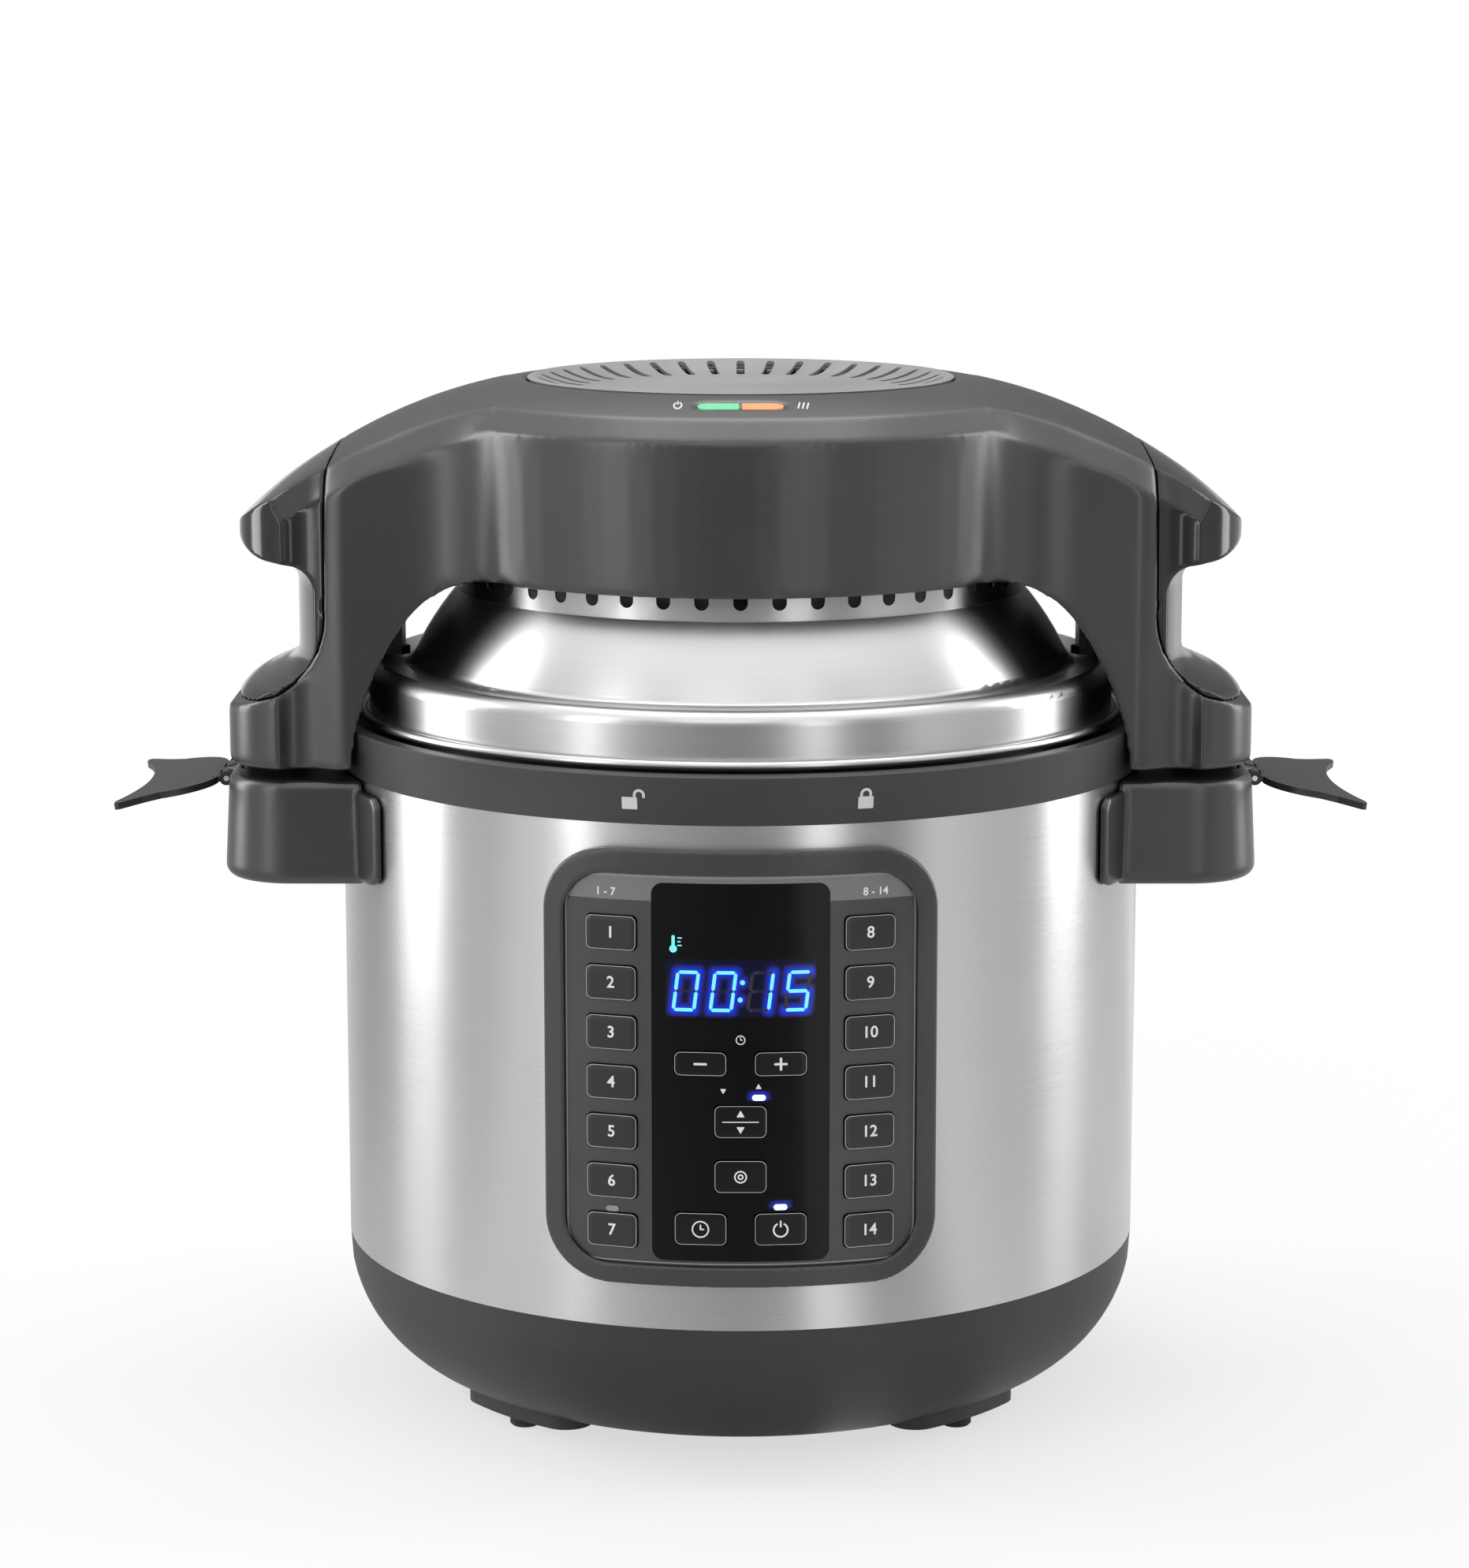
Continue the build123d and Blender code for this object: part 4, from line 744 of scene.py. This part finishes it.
def addSegment(start, end, stroke, lift, material):
    length = math.hypot(end[0] - start[0], end[1] - start[1]) - 2 * displayLook["gap"]
    turn = math.atan2(end[1] - start[1], end[0] - start[0])
    addRoundedTile(length, stroke, stroke * 0.42, 1)
    raiseFaces(displayLook["thickness"])
    piece = keepActive("segment", material)
    return placed(piece, (start[0] + end[0]) / 2, (start[1] + end[1]) / 2, lift, turn)


def lightInk(name, color, strength):
    material, tree, shader, place = startMaterial(name)
    grain = noiseNode(tree, place, 1200.0)
    feed(tree, shader, {
        "Emission Color": mixColor(tree, grain, shaded(color, 0.92), color), "Emission Strength": strength,
        "Base Color": mixColor(tree, grain, grey(0.01), grey(0.02)), "Roughness": 0.3,
    })
    return material


def glowInk(name, color):
    material, tree, shader, place = startMaterial(name)
    reading = addNode(tree, "ShaderNodeAttribute", attribute_name="glow", attribute_type="GEOMETRY")
    amount = reading.outputs["Fac"]
    strong = mathNode(tree, "POWER", amount, 1.3)
    feed(tree, shader, {
        "Emission Color": mixColor(tree, strong, grey(0.0), color), "Emission Strength": 1.0,
        "Base Color": grey(0.004), "Roughness": 0.2, "Alpha": rangeNode(tree, amount, 0.0, 0.25, 0.0, 1.0),
    })
    return material


litFinish = lightInk("litSegment", displayLook["core"], 1.0)
# unlit segments get a faint dim violet glow of their own: painted light, they are not lit
restFinish = lightInk("unlitSegmentFaintGlow", (0.012, 0.004, 0.02, 1), 1.0)
glowFinish = glowInk("segmentGlow", displayLook["rim"])

litLines = []
restLines = []
for digit, shown in enumerate(shownDigits):
    for segment, (start, end) in segmentEnds().items():
        line = (slanted(start, digit), slanted(end, digit))
        (litLines if segment in digitSegments[shown] else restLines).append(line)
colonDots = [slanted((displayLook["dotSide"], height), 2) for height in displayLook["dotHeights"]]

stroke, lift = displayLook["stroke"], displayLook["lift"]
litPieces = [addSegment(start, end, stroke, lift, litFinish) for start, end in litLines]
for dot in colonDots:
    addCircle(20, displayLook["dotRadius"])
    raiseFaces(displayLook["thickness"])
    litPieces.append(placed(keepActive("dot", litFinish), *dot, lift))
litDigits = wrapOnPanel(joinPieces(litPieces, "litDigits"), panelRadius)
restPieces = [addSegment(start, end, stroke, lift / 2, restFinish) for start, end in restLines]
restDigits = wrapOnPanel(joinPieces(restPieces, "restDigits"), panelRadius)


# glow plates: how far the light spreads round its lines, and the plates' own sizes
glowLook = {
    "edgeFade": 0.0012, "core": 0.0005, "reach": 0.0012, "digitSides": (-0.0262, 0.0262),
    "digitHeights": (0.1660, 0.1875), "digitCells": (104, 44), "digitHaze": 0.10,
    "lightHalf": 0.0052, "lightRise": 0.0034, "lightCells": (26, 17), "thickness": 0.00001,
}


def addGlow(name, sides, heights, cells, lines, haze=0.0):
    clearSelection()
    bpy.ops.mesh.primitive_grid_add(x_subdivisions=cells[0], y_subdivisions=cells[1], size=1)
    editMode()
    raiseFaces(glowLook["thickness"])
    plate = keepActive(name, glowFinish)
    centre = ((sides[0] + sides[1]) / 2, (heights[0] + heights[1]) / 2)
    size = (sides[1] - sides[0], heights[1] - heights[0])
    stretch = Matrix.Diagonal((size[0], size[1], 1, 1))
    plate.data.transform(Matrix.Translation((centre[0], centre[1], 0)) @ stretch)
    glow = plate.data.attributes.new("glow", "FLOAT", "POINT")
    for index, vertex in enumerate(plate.data.vertices):
        point = Vector((vertex.co.x, vertex.co.y))
        nearest = 1.0
        for start, end in lines:
            first, second = Vector(start), Vector(end)
            run = second - first
            along = max(0.0, min(1.0, (point - first).dot(run) / max(run.length_squared, 1e-12)))
            nearest = min(nearest, (first + run * along - point).length)
        edge = min(point.x - sides[0], sides[1] - point.x, point.y - heights[0], heights[1] - point.y)
        fade = max(0.0, min(1.0, edge / glowLook["edgeFade"]))
        front = 1.0 if vertex.co.z > glowLook["thickness"] / 2 else 0.0
        spread = math.exp(-max(nearest - glowLook["core"], 0.0) / glowLook["reach"])
        glow.data[index].value = front * fade * max(spread, haze)
    wrapOnPanel(plate, panelRadius + displayLook["lift"] / 3)
    return plate


dotLines = [(dot, dot) for dot in colonDots]
digitGlow = addGlow("digitGlow", glowLook["digitSides"], glowLook["digitHeights"], glowLook["digitCells"],
                    litLines + dotLines, glowLook["digitHaze"])
# each lit pipe's side, height, half length of its bright line, and foot clear of the key below
litPipes = [(0.00615, 0.1390, 0.00138, 0.1373), (0.0136, 0.1005, 0.00138, 0.0996)]
lightGlows = []
for number, (side, height, halfLine, foot) in enumerate(litPipes):
    ends = ((side - halfLine, height), (side + halfLine, height))
    sides = (side - glowLook["lightHalf"], side + glowLook["lightHalf"])
    heights = (foot, height + glowLook["lightRise"])
    lightGlows.append(addGlow(f"lightGlow{number + 1}", sides, heights, glowLook["lightCells"], [ends]))

# small signs beside the display: thermometer lit blue, clock and level marks in grey
signLook = {
    "lift": 0.00004, "stem": (0.0011, 0.0042), "stemPlace": (-0.0228, 0.1928), "bulb": (0.0013, 0.00001),
    "bulbPlace": (-0.0228, 0.1902), "tickHeight": 0.00045,
    "ticks": ((0.0016, -0.0206, 0.1940), (0.0012, -0.0208, 0.1927), (0.0016, -0.0206, 0.1914)),
    "clock": (0.00165, 0.00130), "clockPlace": (0, 0.1590),
    "longHand": (0.0012, 0.0003), "longPlace": (0, 0.1590 + 0.00045),
    "shortHand": (0.0009, 0.0003), "shortPlace": (0.0003, 0.1590),
    "wedge": 0.0012, "lowPlace": (-0.0059, 0.1414), "highPlace": (0.0061, 0.1426),
}
signLift = signLook["lift"]
thermometerParts = [
    addBar(*signLook["stem"], signLift, 0, signLook["stemPlace"]),
    addRing(*signLook["bulb"], signLift, signLook["bulbPlace"]),
]
for width, side, height in signLook["ticks"]:
    thermometerParts.append(addBar(width, signLook["tickHeight"], signLift, 0, (side, height)))
thermometer = joinPieces(thermometerParts, "thermometerSign")
thermometer.data.materials.clear()
thermometer.data.materials.append(litFinish)
signs = joinPieces([
    addRing(*signLook["clock"], signLift, signLook["clockPlace"]),
    addBar(*signLook["longHand"], signLift, upright, signLook["longPlace"]),
    addBar(*signLook["shortHand"], signLift + markLook["over"], 0, signLook["shortPlace"]),
    addWedge(signLook["wedge"], signLift, math.pi, signLook["lowPlace"]),
    addWedge(signLook["wedge"], signLift, 0, signLook["highPlace"]),
], "displaySigns")
for piece in (thermometer, signs):
    wrapOnPanel(piece, panelRadius)
for piece in [litDigits, restDigits, digitGlow, thermometer, signs] + lightGlows:
    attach(piece, "base")
print("display made")

# panel face: thin pale line round its edge and plain numbers in the header
faceLook = {
    "line": 0.0004, "inset": 0.0005, "corner": 0.0120, "lift": 0.00002, "strips": 44,
    "headerSize": 0.0038, "headerSide": 0.0464, "headerHeight": 0.2088,
}
faceLow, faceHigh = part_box("panel_face")
faceRadius = -faceLow.y


def sliceUpright(piece, strips):
    makeActive(piece)
    sides = [vertex.co.x for vertex in piece.data.vertices]
    editMode()
    for strip in range(1, strips):
        selectAll()
        place = min(sides) + (max(sides) - min(sides)) * strip / strips
        bpy.ops.mesh.bisect(plane_co=(place, 0, 0), plane_no=(1, 0, 0))
    objectMode()
    return piece


def addFaceLine():
    halfArc = faceRadius * math.asin(min(1.0, faceHigh.x / faceRadius))
    width, height = 2 * (halfArc - faceLook["inset"]), faceHigh.z - faceLow.z - 2 * faceLook["inset"]
    addRoundedTile(width, height, faceLook["corner"], 10)
    openFace(faceLook["line"])
    raiseFaces(keyLook["thickness"])
    line = sliceUpright(keepActive("faceLine", lineFinish), faceLook["strips"])
    return placed(line, 0, (faceLow.z + faceHigh.z) / 2, faceLook["lift"])


lineFinish = printInk("printedLine", 0.30)
headers = []
for side, label in ((-1, "1 - 7"), (1, "8 - 14")):
    header = addNumber(label, faceLook["headerSize"], faceLook["lift"], inkFinish)
    headers.append(placed(header, side * faceLook["headerSide"], faceLook["headerHeight"], 0))
for piece in (addFaceLine(), joinPieces(headers, "headerNumbers")):
    wrapOnPanel(piece, faceRadius)
    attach(piece, "base")
print("face line and header made")

# signs beside the lenses: a power mark on the left, rising warmth on the right
lensSigns = {
    "side": 0.0215, "place": -0.0915, "stretch": 2.6, "lift": 0.00004, "above": 0.45,
    "ring": (0.0016, 0.00105), "ringGap": 0.55, "stem": (0.0016, 0.00055), "stemPlace": (0, 0.0012),
    "wave": (0.0030, 0.00055), "waveTurn": upright - 0.25, "waveSides": (-0.0015, 0.0, 0.0015),
}
housing = bpy.data.objects["soft_lid_housing"]


def layOnHousing(piece, side):
    for vertex in piece.data.vertices:
        x, y = side + vertex.co.x, lensSigns["place"] + vertex.co.y * lensSigns["stretch"]
        point = housing.ray_cast(Vector((x, y, lensSigns["above"])), Vector((0, 0, -1)))[1]
        vertex.co = (x, y, point.z + lensSigns["lift"] + vertex.co.z)
    return piece


powerSign = layOnHousing(joinPieces([
    addRing(*lensSigns["ring"], 0, (0, 0), lensSigns["ringGap"]),
    addBar(*lensSigns["stem"], 0, upright, lensSigns["stemPlace"]),
], "powerSign"), -lensSigns["side"])
warmthSign = layOnHousing(joinPieces([
    addBar(*lensSigns["wave"], 0, lensSigns["waveTurn"], (side, 0)) for side in lensSigns["waveSides"]
], "warmthSign"), lensSigns["side"])
for piece in (powerSign, warmthSign):
    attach(piece, "lid")
print("lens signs made")

# padlock signs on the front of the collar
lockLook = {
    "thickness": 0.00008, "lift": 0.00004, "bodyWidth": 0.0054, "bodyHeight": 0.0042, "bodyCorner": 0.0003,
    "ringOuter": 0.0021, "ringInner": 0.0012, "ringRise": 0.0008, "ringLeg": 0.0009, "openShift": 0.0034,
    "height": 0.2392, "openSide": -0.0380, "shutSide": 0.0430, "collarStep": 0.0003, "collarEdge": 0.0005,
    "cutBelow": -0.00005, "legBelow": 0.0002,
}
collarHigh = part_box("collar_ring")[1]
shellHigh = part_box("outer_shell")[1]


def collarFace(z):
    foot = shellHigh.x + lockLook["collarStep"]
    share = (z - shellHigh.z) / (collarHigh.z - lockLook["collarEdge"] - shellHigh.z)
    return foot + (collarHigh.x - foot) * share


def addPadlock(name, side, opened):
    addRoundedTile(lockLook["bodyWidth"], lockLook["bodyHeight"], lockLook["bodyCorner"], 2)
    raiseFaces(lockLook["thickness"])
    body = keepActive("lockBody", iconFinish)
    addCircle(28, lockLook["ringOuter"])
    openFace(lockLook["ringOuter"] - lockLook["ringInner"])
    objectMode()
    for polygon in bpy.context.object.data.polygons:
        polygon.select = polygon.center.y < lockLook["cutBelow"]
    editMode()
    bpy.ops.mesh.delete(type="FACE")
    objectMode()
    mesh = bpy.context.object.data
    for vertex in mesh.vertices:
        if vertex.co.y < lockLook["legBelow"]:
            vertex.co.y -= lockLook["ringLeg"]
    editMode()
    raiseFaces(lockLook["thickness"])
    shackle = keepActive("lockShackle", iconFinish)
    shift = lockLook["openShift"] if opened else 0.0
    placed(shackle, shift, lockLook["bodyHeight"] / 2 + lockLook["ringRise"], 0)
    lock = joinPieces([body, shackle], name)
    for vertex in lock.data.vertices:
        z = lockLook["height"] + vertex.co.y
        radius = collarFace(z) + lockLook["lift"] + vertex.co.z
        angle = (side + vertex.co.x) / collarHigh.x
        vertex.co = (radius * math.sin(angle), -radius * math.cos(angle), z)
    return lock


for name, side, opened in (
        ("padlockOpen", lockLook["openSide"], True), ("padlockShut", lockLook["shutSide"], False)):
    lock = addPadlock(name, side, opened)
    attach(lock, "base")
print("collar signs made")

# underside: socket screws in the bowl, each head stepped in by (width, depth)
screwLook = {
    "radius": 0.0042, "rise": 0.0012, "reach": 0.026, "height": 0.00352,
    "steps": ((0.0008, 0.0004), (0.0018, 0.0), (0.0002, -0.0009)),
}


def addScrew(name, place):
    clearSelection()
    bpy.ops.mesh.primitive_cylinder_add(vertices=28, radius=screwLook["radius"], depth=screwLook["rise"])
    editMode()
    bpy.ops.mesh.select_mode(type="FACE")
    bpy.ops.mesh.select_all(action="DESELECT")
    objectMode()
    for polygon in bpy.context.object.data.polygons:
        polygon.select = polygon.normal.z < -0.9
    editMode()
    for thickness, depth in screwLook["steps"]:
        bpy.ops.mesh.inset(thickness=thickness, depth=depth)
    bpy.ops.mesh.select_mode(type="VERT")
    return placed(keepActive(name, pinChrome), *place)


screws = []
for corner in range(3):
    angle = math.radians(90 + 120 * corner)
    place = (screwLook["reach"] * math.cos(angle), screwLook["reach"] * math.sin(angle), screwLook["height"])
    screws.append(addScrew(f"bowlScrew{corner + 1}", place))
bowlScrews = joinPieces(screws, "bowlScrews")
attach(bowlScrews, "base")
print("screws made")

# camera, floor and soft studio light
cameraLook = {"place": (0, -1.55554, 0.49792), "tilt": 10.119, "lens": 98.22, "shift": -0.00387}
camera = bpy.data.cameras.new("camera")
camera.lens = cameraLook["lens"]
camera.sensor_width = 36
camera.shift_x = cameraLook["shift"]
camera.clip_end = 50
cameraObject = bpy.data.objects.new("camera", camera)
cameraObject.location = cameraLook["place"]
cameraObject.rotation_euler = (math.radians(90 - cameraLook["tilt"]), 0, 0)
bpy.context.scene.collection.objects.link(cameraObject)
bpy.context.scene.camera = cameraObject

floorLook = {"size": 30.0, "shade": 0.82, "lift": 0.66, "shadowReach": 0.27, "whiteReach": 0.70}

# studio bands: how bright the surroundings look in gloss, by compass angle from the front
bandLevels = {
    -180: 0.95, -168: 1.05, -150: 0.78, -138: 0.62, -122: 0.48, -111: 0.54, -100: 0.54, -88: 0.56, -78: 0.64,
    -69: 0.68, -61: 0.98, -53: 0.86, -42: 0.84, -36: 0.80, -28: 0.56, -12: 0.40, 0: 0.30, 13: 0.40, 18: 1.18,
    24: 1.05, 30: 0.42, 43: 0.38, 53: 0.98, 70: 0.74, 95: 0.56, 110: 0.78, 124: 0.78, 138: 0.80, 150: 1.08,
    159: 0.66, 169: 0.70, 180: 0.95,
}
bandTop = max(bandLevels.values())


def buildStudioBands():
    group, entry, leave = startGroup(
        "studioBands", [("Vector", "NodeSocketVector", None)], [("Level", "NodeSocketFloat")])
    split = addNode(group, "ShaderNodeSeparateXYZ", {"Vector": entry["Vector"]}).outputs
    angle = mathNode(group, "ARCTAN2", split["X"], mathNode(group, "MULTIPLY", split["Y"], -1.0))
    share = rangeNode(group, angle, -math.pi, math.pi, 0.0, 1.0)
    ramp = addNode(group, "ShaderNodeValToRGB", {"Fac": share})
    elements = ramp.color_ramp.elements
    elements.remove(elements[1])
    for number, (degrees, level) in enumerate(bandLevels.items()):
        element = elements[0] if number == 0 else elements.new((degrees + 180) / 360)
        element.position = (degrees + 180) / 360
        element.color = grey(level / bandTop)
    group.links.new(mathNode(group, "MULTIPLY", ramp.outputs["Color"], bandTop), leave["Level"])
    return group


studioBands = buildStudioBands()


def bandsNode(tree, vector):
    return addNode(tree, "ShaderNodeGroup", {"Vector": vector}, node_tree=studioBands).outputs["Level"]


def backgroundMix(tree, lit, plain, share):
    paths = addNode(tree, "ShaderNodeLightPath").outputs
    seen = mathNode(tree, "MAXIMUM", paths["Is Camera Ray"], paths["Is Glossy Ray"])
    seen = mathNode(tree, "MAXIMUM", seen, paths["Is Transmission Ray"])
    share = mathNode(tree, "MULTIPLY", seen, share)
    return addNode(tree, "ShaderNodeMixShader", {0: share, 1: lit, 2: plain}).outputs[0]


floorMaterial, floorTree, floorShader, floorPlace = startMaterial("paleFloor")
feed(floorTree, floorShader, {
    "Base Color": grey(floorLook["shade"]), "Roughness": 0.8, "Specular IOR Level": 0.1})
floorGloss = addNode(floorTree, "ShaderNodeLightPath").outputs["Is Glossy Ray"]
floorLevel = mathNode(floorTree, "ADD", mathNode(floorTree, "SUBTRACT", 1.0, floorGloss),
                      mathNode(floorTree, "MULTIPLY", floorGloss, bandsNode(floorTree, floorPlace)))
whiteGlow = addNode(floorTree, "ShaderNodeEmission", {"Color": grey(1.0), "Strength": floorLevel})
floorReach = addNode(floorTree, "ShaderNodeVectorMath", {0: floorPlace}, operation="LENGTH").outputs["Value"]
floorLift = rangeNode(
    floorTree, floorReach, floorLook["shadowReach"], floorLook["whiteReach"], floorLook["lift"], 1.0, True)
floorMix = backgroundMix(floorTree, floorShader.outputs[0], whiteGlow.outputs[0], floorLift)
feed(floorTree, floorTree.nodes["Material Output"], {"Surface": floorMix})
clearSelection()
bpy.ops.mesh.primitive_plane_add(size=floorLook["size"])
floor = keepActive("floor", floorMaterial)

worldLook = {
    "light": 0.55, "high": 1.55, "bandsLow": 0.30, "bandsHigh": 0.88, "back": 0.32, "backFade": (0.55, 0.92),
}
world = bpy.data.worlds.new("studio")
bpy.context.scene.world = world
world.use_nodes = True
worldTree = world.node_tree
worldTree.nodes.clear()
direction = addNode(worldTree, "ShaderNodeTexCoord").outputs["Generated"]
split = addNode(worldTree, "ShaderNodeSeparateXYZ", {"Vector": direction}).outputs
upward = split["Z"]
paths = addNode(worldTree, "ShaderNodeLightPath").outputs
high = rangeNode(worldTree, upward, worldLook["bandsLow"], worldLook["bandsHigh"], 0.0, 1.0, True)
low = mathNode(worldTree, "SUBTRACT", 1.0, high)
bands = mathNode(worldTree, "MULTIPLY", low, bandsNode(worldTree, direction))
behind = rangeNode(worldTree, split["Y"], *worldLook["backFade"], 1.0, worldLook["back"], True)
bands = mathNode(worldTree, "MULTIPLY", bands, behind)
surround = mathNode(worldTree, "ADD", bands, mathNode(worldTree, "MULTIPLY", high, worldLook["high"]))
seen = mathNode(worldTree, "MAXIMUM", paths["Is Camera Ray"], paths["Is Transmission Ray"])
unseen = mathNode(worldTree, "SUBTRACT", 1.0, seen)
glossy = mathNode(worldTree, "MULTIPLY", paths["Is Glossy Ray"], surround)
mattRay = mathNode(worldTree, "SUBTRACT", 1.0, paths["Is Glossy Ray"])
matt = mathNode(worldTree, "MULTIPLY", mattRay, worldLook["light"])
around = mathNode(worldTree, "MULTIPLY", unseen, mathNode(worldTree, "ADD", glossy, matt))
level = mathNode(worldTree, "ADD", seen, around)
sky = addNode(worldTree, "ShaderNodeBackground", {"Color": grey(1.0), "Strength": level})
addNode(worldTree, "ShaderNodeOutputWorld", {"Surface": sky.outputs[0]})

lamps = {
    "softboxLeft": {"place": (-1.48, 0.22, 0.60), "aim": (0, 0, 0.2), "size": (0.50, 1.3), "power": 13.0},
    "softboxRight": {"place": (1.466, 0.26, 0.60), "aim": (0, 0, 0.2), "size": (0.42, 1.3), "power": 9.5},
    "fillLeft": {"place": (-1.13, -1.13, 0.60), "aim": (0, 0, 0.2), "size": (0.26, 1.2), "power": 3.7},
    "fillRight": {"place": (0.64, -1.57, 0.60), "aim": (0, 0, 0.2), "size": (0.26, 1.2), "power": 1.6},
    "topPanel": {"place": (0, 0.25, 1.9), "aim": (0, 0, 0.2), "size": (1.5, 1.1), "power": 14.0},
    "frontFill": {"place": (-0.3, -2.3, 1.6), "aim": (0, 0, 0.15), "size": (1.2, 0.9), "power": 4.0},
}
for name, look in lamps.items():
    lamp = bpy.data.lights.new(name, "AREA")
    lamp.shape = "RECTANGLE"
    lamp.size, lamp.size_y = look["size"]
    lamp.energy = look["power"]
    lampObject = bpy.data.objects.new(name, lamp)
    lampObject.location = look["place"]
    toward = Vector(look["aim"]) - Vector(look["place"])
    lampObject.rotation_euler = toward.to_track_quat("-Z", "Y").to_euler()
    bpy.context.scene.collection.objects.link(lampObject)

bpy.context.scene.view_settings.view_transform = "Standard"
print("camera, floor and lamps set")

clearSelection()
